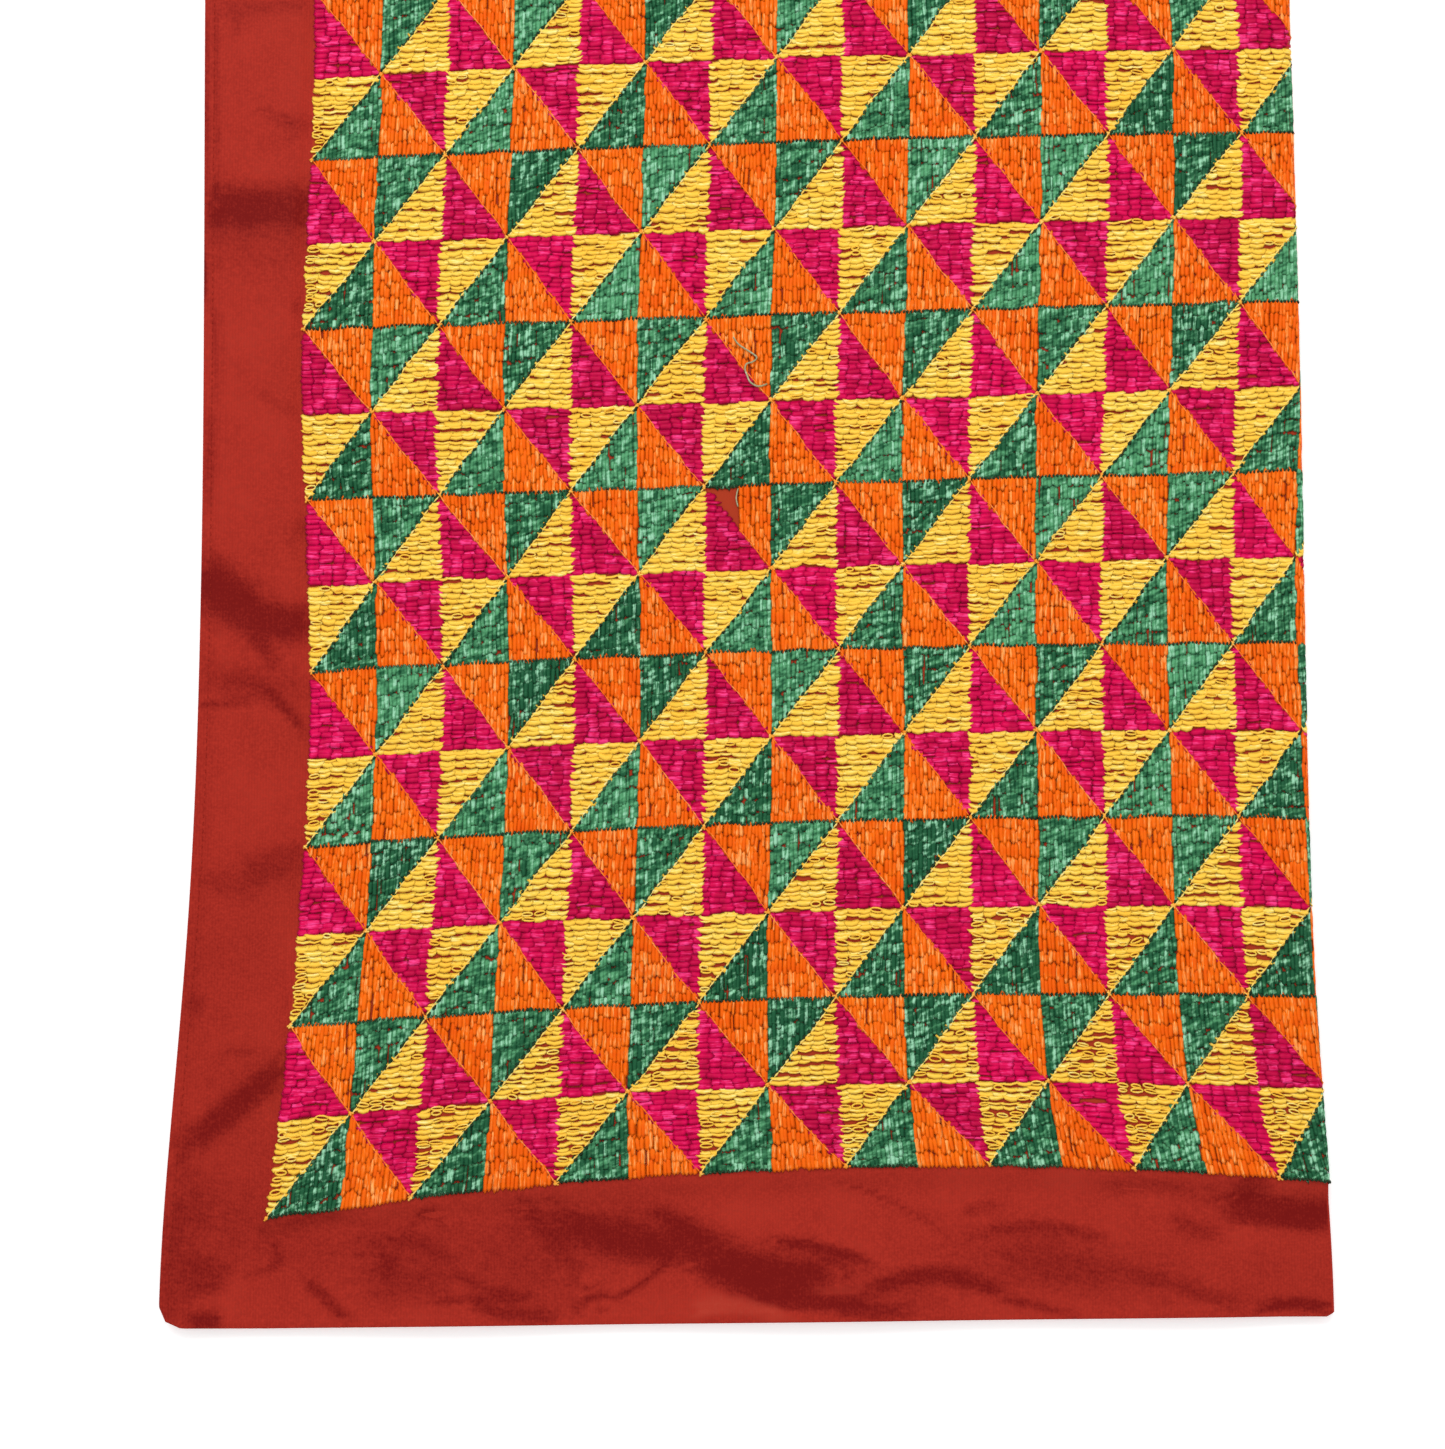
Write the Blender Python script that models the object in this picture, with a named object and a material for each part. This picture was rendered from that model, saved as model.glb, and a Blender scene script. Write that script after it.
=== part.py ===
"""Phulkari shawl, folded once lengthwise and once crosswise, lying flat.

Metres, +Z up. X runs across the folded shawl, from its open side at -X to
its lengthwise fold at +X. Y runs along it, from the open near end at -Y to
the crosswise fold at +Y. The underside rests on z = 0.
"""
import math

import bpy
import bmesh
import numpy as np

for old in list(bpy.data.objects):
    bpy.data.objects.remove(old, do_unlink=True)

# Folded size
LENGTH = 1.215          # near end to the outside of the far fold
HALF_WIDTH = 0.271      # from the centre line to the open side at the near end

# Thickness of what the shawl is made of
WALL = 0.0010           # ground cloth
FLOSS = 0.0007          # stitched floss over the cloth
GAP = 0.0003            # between neighbouring pieces
PILLOW = 0.0006         # how far the middle of a stitched triangle swells
HEM_WIDTH = 0.005
HEM_RISE = 0.0004       # a turned hem is one fold of thin cloth thicker

# Thickness of the four leaves together, in the plain border and in the field
BORDER_STACK = 4 * (WALL + GAP)
FIELD_STACK = BORDER_STACK + 4 * (FLOSS + GAP)
MID_GAP = 0.0003        # between the upper and the lower lengthwise fold
LIP = 0.008             # how far the folded edge runs back in

# Pattern: u counts half-cells from the field's open side, v from its near end
COLUMNS = 15
ROWS = 28
BORDER_U = 1.7          # the side border's width, in half-cells
BORDER_V = 1.6          # the end border's width, in half-cells
RAMP = 0.3              # the slope from border to field, in half-cells
UNDER = (22, 15, 10, 7, 5, 3, 2, 1, 0)   # pattern rows that carry the flat underside
FIELD_ROWS = (*range(0, 8), *range(8, ROWS + 1, 2))
FOLD_Y = LENGTH / 2 - FIELD_STACK / 2

# Inner leaves: how far they stand back from the edges of the top leaf
SET_BACK = 0.0015
GROOVE = 0.0025

# Weights of the terms in pattern_point, in metres
ACROSS = dict(base=-0.20804, step=0.03159, near=-0.01880, near_q=0.05525, near_qq=-0.00645,
              wide=0.00606, wide_q=-0.02216, wide_b=-0.00180,
              sway_l=(-0.00217, -0.00079), sway_r=(0.00075, -0.00129))
ALONG = dict(base=-0.55042, step=0.04101, slope=0.01393, bow=0.00130,
             near=-0.01019, near_q=0.00371, near_b=0.01472,
             wide=0.00405, wide_q=-0.00130, sway_b=(-0.00109, -0.00104))


def smooth(t):
    """0 below 0, 1 above 1, and 3t^2 - 2t^3 between."""
    t = np.clip(t, 0.0, 1.0)
    return t * t * (3.0 - 2.0 * t)


def pattern_point(u, v):
    """Where the stitched pattern's corner (u, v) lies, with q = u / COLUMNS.

    x and y are a constant plus step * u (or v), plus terms in exp(-v / 2.2)
    and exp(-(v / 7)^2) for the flare toward the near end, plus a slow sway
    in sin(pi v / 4) and cos(pi v / 4).
    """
    q = u / COLUMNS
    b = 4.0 * q * (1.0 - q)
    near = np.exp(-v / 2.2)
    wide = np.exp(-(v / 7.0) ** 2)
    s, c = np.sin(math.pi * v / 4.0), np.cos(math.pi * v / 4.0)
    a = ACROSS
    x = a["base"] + a["step"] * u
    x = x + near * (a["near"] + a["near_q"] * q + a["near_qq"] * q * q)
    x = x + wide * (a["wide"] + a["wide_q"] * q + a["wide_b"] * b)
    x = x + (1 - q) * (a["sway_l"][0] * s + a["sway_l"][1] * c)
    x = x + q * (a["sway_r"][0] * s + a["sway_r"][1] * c)
    a = ALONG
    y = a["base"] + a["step"] * v + a["slope"] * q + a["bow"] * b
    y = y + near * (a["near"] + a["near_q"] * q + a["near_b"] * b)
    y = y + wide * (a["wide"] + a["wide_q"] * q)
    y = y + b * (a["sway_b"][0] * s + a["sway_b"][1] * c)
    return x, y


def side_edge(y):
    """x of the open side: it leaves the near end 14 mm wide of the straight."""
    s = y + LENGTH / 2
    flare = 0.0140 * np.exp(-(s / 0.165) ** 2)
    return -HALF_WIDTH + 0.0140 - flare - 0.0035 * smooth((s - 0.35) / 0.40)


def fold_edge(y):
    """x of the outside of the lengthwise fold: 9 mm wide at the near end."""
    s = y + LENGTH / 2
    flare = 0.0090 * np.exp(-(s / 0.13) ** 2)
    return HALF_WIDTH - 0.0090 + flare - 0.0030 * smooth((s - 0.40) / 0.35)


def end_edge(x):
    """y of the near end: it rises 6 mm from the open side to the fold."""
    return -LENGTH / 2 + 0.0063 * (x + HALF_WIDTH) / (2 * HALF_WIDTH)


FOLD_RADIUS = (FIELD_STACK / 2 - MID_GAP / 2) / 2


def plan(u, v):
    """(x, y) of the cloth at (u, v), from the border's edges to the folds.

    Inside the field it is pattern_point. The border runs in a straight line
    from the field's edge to side_edge or end_edge, the last column lies on
    the fold's centre line and the last row on FOLD_Y. The corner of the
    near end is drawn in by 6 mm and 5 mm, fading over 12 mm.
    """
    x, y = pattern_point(np.maximum(u, 0.0), np.maximum(v, 0.0))
    y = np.where(v < 0, end_edge(x) + (y - end_edge(x)) * (1 + v / BORDER_V), y)
    y = np.where(v >= ROWS, FOLD_Y, y)
    x = np.where(u < 0, side_edge(y) + (x - side_edge(y)) * (1 + u / BORDER_U), x)
    x = np.where(u >= COLUMNS, fold_edge(y) - FOLD_RADIUS, x)
    corner = np.exp(-(x - side_edge(y) + y - end_edge(x)) / 0.012)
    return x + 0.006 * corner, y + 0.005 * corner


def field_share(u, v):
    """1 over the field, 0 in the border, with a short slope outside it."""
    return smooth(1 + u / RAMP) * smooth(1 + v / RAMP)


def lift(x, y):
    """Soft waves of the top leaf: slow in the field, stronger by the end.

    0.4 mm (1 + sin) over the field and 1.1 mm (1 + cos) at the near end,
    fading over 60 mm, and none at the folds.
    """
    s = y + LENGTH / 2
    field = 0.0004 * (1 + np.sin(2 * math.pi * (x / 0.42 + y / 0.61) + 0.6))
    end = 0.0011 * (1 + np.cos(2 * math.pi * (x - 0.035) / 0.17)) * np.exp(-(s / 0.060) ** 2)
    return (field + end) * smooth((fold_edge(y) - 0.004 - x) / 0.05) * smooth((FOLD_Y - y) / 0.08)


def section(u, v, phi, lip, psi, offset, raised=0.0):
    """Points of a sheet round both folds.

    R0 is half the stack. The lengthwise fold turns by phi on the radius
    r = (R0 - MID_GAP / 2) / 2, so a point offset d from the outside lies at
    x + (r + d) sin(phi) - lip, and R = R0 - r + (r + d) cos(phi) above the
    middle. The crosswise fold then turns R by psi about the line y = FOLD_Y:
    y + R sin(psi), z = R0 + R cos(psi). The upper leaf also gets lift.
    """
    share = field_share(u, v)
    r0 = (BORDER_STACK + (FIELD_STACK - BORDER_STACK) * share) / 2
    r = (r0 - MID_GAP / 2) / 2
    d = offset(share) + raised
    x, y = plan(u, v)
    xs = x + (r + d) * np.sin(phi) - lip
    rs = r0 - r + (r + d) * np.cos(phi)
    up = lift(x, y) * (phi == 0) * (psi == 0)
    return np.stack([xs, y + rs * np.sin(psi), r0 + rs * np.cos(psi) + up], axis=-1)


def columns(flat, turns):
    """Column table (u, phi, lip): the flat ones, the turn and the lip."""
    rows = [(u, 0.0, 0.0) for u in flat]
    rows += [(COLUMNS, math.pi * k / turns, 0.0) for k in range(1, turns + 1)]
    return np.array(rows + [(COLUMNS, math.pi, LIP)])


def rows(top, turns, under):
    """Row table (v, psi): over the top, round the far fold, and back under."""
    out = [(v, 0.0) for v in top]
    out += [(ROWS, math.pi * k / turns) for k in range(1, turns + 1)]
    return np.array(out + [(v, math.pi) for v in under])


def grid(cols, rws, offset, raised=0.0):
    """The section at every column and row, as an array (rows, columns, 3)."""
    u, phi, lip = (cols[None, :, k] for k in range(3))
    v, psi = (rws[:, None, k] for k in range(2))
    return section(u + 0 * v, v + 0 * u, phi + 0 * v, lip + 0 * v, psi + 0 * u, offset, raised)


def solid(name, points, faces, colour, roughness, weld=1e-6):
    """One closed mesh object with its own plain material, normals outward."""
    mesh = bpy.data.meshes.new(name)
    mesh.from_pydata([tuple(p) for p in points], [], faces)
    work = bmesh.new()
    work.from_mesh(mesh)
    bmesh.ops.remove_doubles(work, verts=work.verts, dist=weld)
    bmesh.ops.triangulate(work, faces=work.faces)
    bmesh.ops.recalc_face_normals(work, faces=work.faces)
    if work.calc_volume(signed=True) < 0:
        bmesh.ops.reverse_faces(work, faces=work.faces)
    work.to_mesh(mesh)
    work.free()
    material = bpy.data.materials.new(name)
    material.use_nodes = True
    shader = material.node_tree.nodes["Principled BSDF"]
    shader.inputs["Base Color"].default_value = (*colour, 1.0)
    shader.inputs["Roughness"].default_value = roughness
    shader.inputs["Metallic"].default_value = 0.0
    mesh.materials.append(material)
    obj = bpy.data.objects.new(name, mesh)
    bpy.context.scene.collection.objects.link(obj)
    return obj


def sheet_solid(name, outer, inner, colour, roughness, peaks=None):
    """A wall between two equal grids of points, closed round its rim.

    peaks maps a cell (row, column) to (diagonal, two middle points), which
    swell the cell's two outer triangles.
    """
    nv, nu = outer.shape[:2]
    points = [*outer.reshape(-1, 3), *inner.reshape(-1, 3)]
    base = nv * nu

    def at(j, i, layer=0):
        return layer * base + j * nu + i

    faces = []
    for j in range(nv - 1):
        for i in range(nu - 1):
            a, b, c, d = at(j, i), at(j, i + 1), at(j + 1, i + 1), at(j + 1, i)
            if peaks and (j, i) in peaks:
                rising, middles = peaks[(j, i)]
                pair = ((a, b, c), (a, c, d)) if rising else ((a, b, d), (b, c, d))
                for corner, middle in zip(pair, middles):
                    points.append(middle)
                    top = len(points) - 1
                    faces += [(corner[k], corner[(k + 1) % 3], top) for k in range(3)]
            else:
                faces.append((a, b, c, d))
            faces.append(tuple(k + base for k in (d, c, b, a)))
    loop = [(0, i) for i in range(nu - 1)] + [(j, nu - 1) for j in range(nv - 1)]
    loop += [(nv - 1, i) for i in range(nu - 1, 0, -1)] + [(j, 0) for j in range(nv - 1, 0, -1)]
    for k, one in enumerate(loop):
        two = loop[(k + 1) % len(loop)]
        faces.append((at(*one), at(*one, 1), at(*two, 1), at(*two)))
    return solid(name, points, faces, colour, roughness)


def build_ground_cloth():
    """The outer leaf: top, round both folds, and the underside."""
    hem_u = BORDER_U * (1 - HEM_WIDTH / 0.052)
    hem_v = BORDER_V * (1 - HEM_WIDTH / 0.066)
    flat = [-BORDER_U, -hem_u, -hem_u + 0.05, -1.1, -0.7, -RAMP, -RAMP / 2, *range(0, COLUMNS + 1)]
    top = [-BORDER_V, -hem_v, -hem_v + 0.04, -1.1, -0.7, -RAMP, -RAMP / 2, *FIELD_ROWS]
    cols = columns(flat, 6)
    rws = rows(top, 8, [*UNDER, -RAMP / 2, -RAMP, -BORDER_V])
    hem = np.zeros((len(rws), len(cols)))
    hem[:len(top) - 1, :2] = HEM_RISE
    hem[:2, :len(flat) + 7] = HEM_RISE * (cols[None, :, 1] == 0)
    outer = grid(cols, rws, lambda share: -(FLOSS + GAP) * share, hem)
    inner = grid(cols, rws, lambda share: -(FLOSS + GAP) * share - WALL)
    return sheet_solid("ground_cloth", outer, inner, (0.392, 0.025, 0.016), 0.45)


def build_floss_embroidery():
    """The stitched field over the ground cloth, round both folds.

    Each half-cell is split along its diagonal into two triangles whose
    middles swell by PILLOW. The diagonal rises where column and row are
    both even or both odd, counted from the field's near open corner.
    """
    cols = columns(range(0, COLUMNS + 1), 6)
    cols[-1, 2] = LIP - 0.002
    rws = rows(range(0, ROWS + 1), 8, UNDER)
    outer = grid(cols, rws, lambda share: 0.0 * share)
    inner = grid(cols, rws, lambda share: -FLOSS + 0.0 * share)
    peaks = {}
    for j in range(ROWS):
        for i in range(COLUMNS):
            a, b, c, d = outer[j, i], outer[j, i + 1], outer[j + 1, i + 1], outer[j + 1, i]
            rising = (i + j) % 2 == 0
            pair = ((a, b, c), (a, c, d)) if rising else ((a, b, d), (b, c, d))
            peaks[(j, i)] = (rising, [sum(t) / 3 + np.array([0, 0, PILLOW]) for t in pair])
    return sheet_solid("floss_embroidery", outer, inner, (0.80, 0.36, 0.06), 0.35, peaks)


def build_inner_leaves():
    """The two hidden leaves, as one solid with two rounded edges that show.

    Level h runs from 1 at the top face to -1 at the underside. At height
    h * R the open edges stand back by the table's set-back, which leaves a
    groove between the two leaves at h = 0. At the far fold the upper levels
    turn by psi onto the lower ones.
    """
    levels = ((1.00, 0.0008), (0.80, 0.0), (0.30, 0.0), (0.0, GROOVE))
    u_list = [-BORDER_U, -1.1, -0.7, -RAMP, -RAMP / 2, *range(0, COLUMNS + 1)]
    v_list = [-BORDER_V, -1.1, -0.7, -RAMP, -RAMP / 2, *FIELD_ROWS]
    nu, nv = len(u_list), len(v_list)
    turns = 8
    inset = (FLOSS + GAP, WALL + GAP)

    def level(h, back, psi):
        u, v = np.meshgrid(np.array(u_list, float), np.array(v_list, float))
        share = field_share(u, v)
        r0 = (BORDER_STACK + (FIELD_STACK - BORDER_STACK) * share) / 2
        radius = (r0 - inset[0] * share - inset[1]) * h
        x, y = plan(u, v)
        x[:, 0] += SET_BACK + back
        y[0, :] += SET_BACK + back
        x[:, -1] -= LIP + 0.001
        up = lift(*plan(u, v)) * h * (psi == 0)
        return np.stack([x, y + radius * math.sin(psi), r0 + radius * math.cos(psi) + up], axis=-1)

    points, faces = [], []

    def patch(block):
        start = len(points)
        m, n = block.shape[:2]
        points.extend(block.reshape(-1, 3))
        for j in range(m - 1):
            for i in range(n - 1):
                a = start + j * n + i
                faces.append((a, a + 1, a + n + 1, a + n))

    for psi in (0.0, math.pi):
        whole = [level(h, back, psi) for h, back in levels]
        patch(whole[0])
        patch(np.stack([w[:, 0] for w in whole]))
        patch(np.stack([w[0, :] for w in whole]))
        patch(np.stack([w[:, -1] for w in whole]))
    ring = [[level(h, back, math.pi * k / turns)[-1] for h, back in levels]
            for k in range(turns + 1)]
    ring = np.array(ring)
    patch(ring[:, 0])
    patch(ring[:, :, 0])
    patch(ring[:, :, -1])
    return solid("inner_leaves", points, faces, (0.24, 0.018, 0.012), 0.6)


made = (build_ground_cloth(), build_floss_embroidery(), build_inner_leaves())
for obj in made:
    xyz = np.empty(len(obj.data.vertices) * 3)
    obj.data.vertices.foreach_get("co", xyz)
    xyz = xyz.reshape(-1, 3)
    low, high = xyz.min(axis=0), xyz.max(axis=0)
    print(obj.name, "faces", len(obj.data.polygons),
          "low mm", np.round(low * 1000, 2), "high mm", np.round(high * 1000, 2))
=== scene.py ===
# %% [markdown]
# # A phulkari shawl, folded in four and lying flat
#
# A phulkari is a shawl darned all over with silk floss on a plain ground cloth. This one has triangles of
# yellow, green, orange and magenta floss on silky rust cloth, with a plain border round them.
# It is folded once lengthwise, with that fold on the right, and once crosswise, with that one at the far end.
# The lesson builds it in the order in which it was made: the cloth first, then the floss stitch by stitch,
# then the thread ends, and last the floor, the light and the camera.

# %% Load the frame
import math

import bmesh
import bpy
import mathutils
import numpy as np
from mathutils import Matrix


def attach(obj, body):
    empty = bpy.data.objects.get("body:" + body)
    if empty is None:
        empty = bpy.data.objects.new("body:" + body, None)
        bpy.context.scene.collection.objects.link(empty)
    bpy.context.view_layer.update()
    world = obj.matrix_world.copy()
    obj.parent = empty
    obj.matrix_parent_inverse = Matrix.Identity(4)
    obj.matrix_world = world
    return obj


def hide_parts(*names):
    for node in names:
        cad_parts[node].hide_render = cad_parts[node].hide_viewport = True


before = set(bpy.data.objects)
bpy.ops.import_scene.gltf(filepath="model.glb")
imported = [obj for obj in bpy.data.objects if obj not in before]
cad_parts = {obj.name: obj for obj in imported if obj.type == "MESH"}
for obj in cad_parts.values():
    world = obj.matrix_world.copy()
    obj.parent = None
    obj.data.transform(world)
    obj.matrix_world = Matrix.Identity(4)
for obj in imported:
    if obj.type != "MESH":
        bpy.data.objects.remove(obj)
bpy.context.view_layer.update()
print("solids:", sorted(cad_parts))

# %% [markdown]
# ## The sizes
#
# The solids give the stack of four leaves: each leaf is a wall of cloth, and over the field it carries floss.
# The pattern has its own coordinates. `u` counts half-cells from the open side of the field to the lengthwise
# fold, and `v` counts them from the near end. One half-cell is 31 mm by 41 mm, and it holds two triangles.

# %% Sizes in metres
LENGTH = 1.215
HALF_WIDTH = 0.271
WALL = 0.0010
FLOSS = 0.0007
GAP = 0.0003
MID_GAP = 0.0003
LIP = 0.008
BORDER_STACK = 4 * (WALL + GAP)
FIELD_STACK = BORDER_STACK + 4 * (FLOSS + GAP)
FOLD_RADIUS = (FIELD_STACK / 2 - MID_GAP / 2) / 2
FOLD_Y = LENGTH / 2 - FIELD_STACK / 2
COLUMNS = 15
ROWS = 28
BORDER_U = 1.7          # the side border in half-cells
BORDER_V = 1.6          # the end border in half-cells
SIDE_BORDER = 0.052
END_BORDER = 0.066
RAMP = 0.3
CELL_W = 0.0312
CELL_H = 0.0408
CLOTH = 0.0006          # the shown cloth's own thickness
rng = np.random.default_rng(11)
print("stack of four leaves in mm:", BORDER_STACK * 1000, "at the border,",
      FIELD_STACK * 1000, "in the field")

# %% [markdown]
# ## Where each corner of the pattern lies
#
# Hand darning draws the cloth in, so the field isn't a true grid: its rows slope a little, its columns sway,
# and near the plain end border, where nothing draws the cloth in, it flares out. A few smooth terms give that.

# %% The pattern's plan
ACROSS = dict(base=-0.20804, step=0.03159, near=-0.01880, near_q=0.05525, near_qq=-0.00645,
              wide=0.00606, wide_q=-0.02216, wide_b=-0.00180,
              sway_l=(-0.00217, -0.00079), sway_r=(0.00075, -0.00129), dent=-0.0022)
ALONG = dict(base=-0.55042, step=0.04101, slope=0.01393, bow=0.00130,
             near=-0.01019, near_q=0.00371, near_b=0.01472,
             wide=0.00405, wide_q=-0.00130, sway_b=(-0.00109, -0.00104))


def smooth(t):
    """0 below 0, 1 above 1, and 3 t^2 - 2 t^3 between."""
    t = np.clip(t, 0.0, 1.0)
    return t * t * (3.0 - 2.0 * t)


def pattern_point(u, v):
    """x and y of the pattern's point (u, v): step * u (or v), plus a flare
    in exp(-v / 2.2) and exp(-(v / 7)^2), plus a sway in sin and cos of
    pi v / 4, with q = u / COLUMNS and b = 4 q (1 - q). Past the far fold
    the sway runs back, as the leaf does. The last column has a dent of
    q^12 exp(-((v - 7) / 2.2)^2)."""
    v_sway = np.where(v > ROWS, 2 * ROWS - v, v)
    q = u / COLUMNS
    b = 4.0 * q * (1.0 - q)
    near = np.exp(-v / 2.2)
    wide = np.exp(-(v / 7.0) ** 2)
    s, c = np.sin(math.pi * v_sway / 4.0), np.cos(math.pi * v_sway / 4.0)
    a = ACROSS
    x = a["base"] + a["step"] * u
    x = x + near * (a["near"] + a["near_q"] * q + a["near_qq"] * q * q)
    x = x + wide * (a["wide"] + a["wide_q"] * q + a["wide_b"] * b)
    x = x + (1 - q) * (a["sway_l"][0] * s + a["sway_l"][1] * c)
    x = x + q * (a["sway_r"][0] * s + a["sway_r"][1] * c)
    x = x + a["dent"] * q ** 12 * np.exp(-((v - 7) / 2.2) ** 2)
    a = ALONG
    y = a["base"] + a["step"] * v + a["slope"] * q + a["bow"] * b
    y = y + near * (a["near"] + a["near_q"] * q + a["near_b"] * b)
    y = y + wide * (a["wide"] + a["wide_q"] * q)
    y = y + b * (a["sway_b"][0] * s + a["sway_b"][1] * c)
    return x, y


for corner in ((0, 0), (15, 0), (0, 28), (15, 28)):
    print("pattern corner", corner, "lies at mm", [round(float(c) * 1000, 1) for c in pattern_point(*corner)])


# %% [markdown]
# ## The outline of the folded shawl
#
# Three edges bound the top leaf: the open side, the near end, and the lengthwise fold. The open side and the
# fold both swing outwards at the near end. The fourth edge is the crosswise fold, a straight line.

# %% The edges
def side_edge(y):
    """x of the open side, which flares by 14 mm exp(-(s / 165 mm)^2)."""
    s = y + LENGTH / 2
    flare = 0.0140 * np.exp(-(s / 0.165) ** 2)
    return -HALF_WIDTH + 0.0140 - flare - 0.0035 * smooth((s - 0.35) / 0.40)


def fold_edge(y):
    """x of the outside of the lengthwise fold, which flares by 9 mm."""
    s = y + LENGTH / 2
    flare = 0.0090 * np.exp(-(s / 0.13) ** 2)
    return HALF_WIDTH - 0.0090 + flare - 0.0030 * smooth((s - 0.40) / 0.35)


def end_edge(x):
    """y of the near end, which rises 6 mm from the open side to the fold."""
    return -LENGTH / 2 + 0.0063 * (x + HALF_WIDTH) / (2 * HALF_WIDTH)


def field_share(u, v):
    """1 over the field and 0 in the border, with a short slope outside it."""
    return smooth(1 + u / RAMP) * smooth(1 + v / RAMP)


print("width at the near end, mm:", round(float(fold_edge(-0.6) - side_edge(-0.6)) * 1000, 1))


# %% [markdown]
# ## Waves and creases
#
# The top leaf isn't flat. The field has slow waves, and the plain borders, which are slack, have soft bands
# and small creases. Silky cloth shows them mostly by its sheen: a slope that turns away looks much darker, and
# here that darkness is painted into the cloth's colour as painted shade, with painted sheen where a crease
# catches the light.
# Most creases were charted over the photo. A row of that chart gives a crease's one end, its middle and
# its other end in the photo's pixels, half its width in pixels, and how dark it looks (below zero it catches
# the light). The camera's place turns each into millimetres. A few broader ones follow in millimetres. A crease
# shapes the cloth as a shallow trough or ridge, and it also sets how dark the sheen is there.

# %% The camera's place, by which the chart is read
DISTANCE = 1.604
TILT = math.radians(6.0)
AIM = (-0.0118, -0.3270)
FOCAL = 3412.0                 # pixels of the 1449 that make up the longer side
PHOTO_MIDDLE = (722.5, 724.5)
PIXEL_MM = 0.47
CLOTH_LEVEL = 0.006


def on_cloth(px, py):
    """x and y in mm of what the photo's pixel (px, py) shows: the point
    where the ray (a, b, -1), tilted by TILT, meets the cloth's level."""
    a, b = (px - PHOTO_MIDDLE[0]) / FOCAL, (PHOTO_MIDDLE[1] - py) / FOCAL
    sine, cosine = math.sin(TILT), math.cos(TILT)
    reach = (CLOTH_LEVEL - DISTANCE * cosine) / (b * sine - cosine)
    x = AIM[0] + reach * a
    y = AIM[1] + reach * (sine + b * cosine) - DISTANCE * sine
    return 1000 * x, 1000 * y


def crease(x0, y0, xm, ym, x1, y1, half_wide, dark):
    """A chart row as (x, y, turn, half, bow, wide, dark), in whole mm and
    degrees, with bow and width to a tenth. The bow is how far the middle
    lies off the straight line between the ends."""
    (x0, y0), (xm, ym), (x1, y1) = on_cloth(x0, y0), on_cloth(xm, ym), on_cloth(x1, y1)
    x, y, turn = (x0 + x1) / 2, (y0 + y1) / 2, math.atan2(y1 - y0, x1 - x0)
    bow = (ym - y) * math.cos(turn) - (xm - x) * math.sin(turn)
    half = math.hypot(x1 - x0, y1 - y0) / 2
    return (round(x), round(y), round(math.degrees(turn)), round(half), round(bow, 1),
            round(half_wide * PIXEL_MM, 1), dark)
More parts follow.
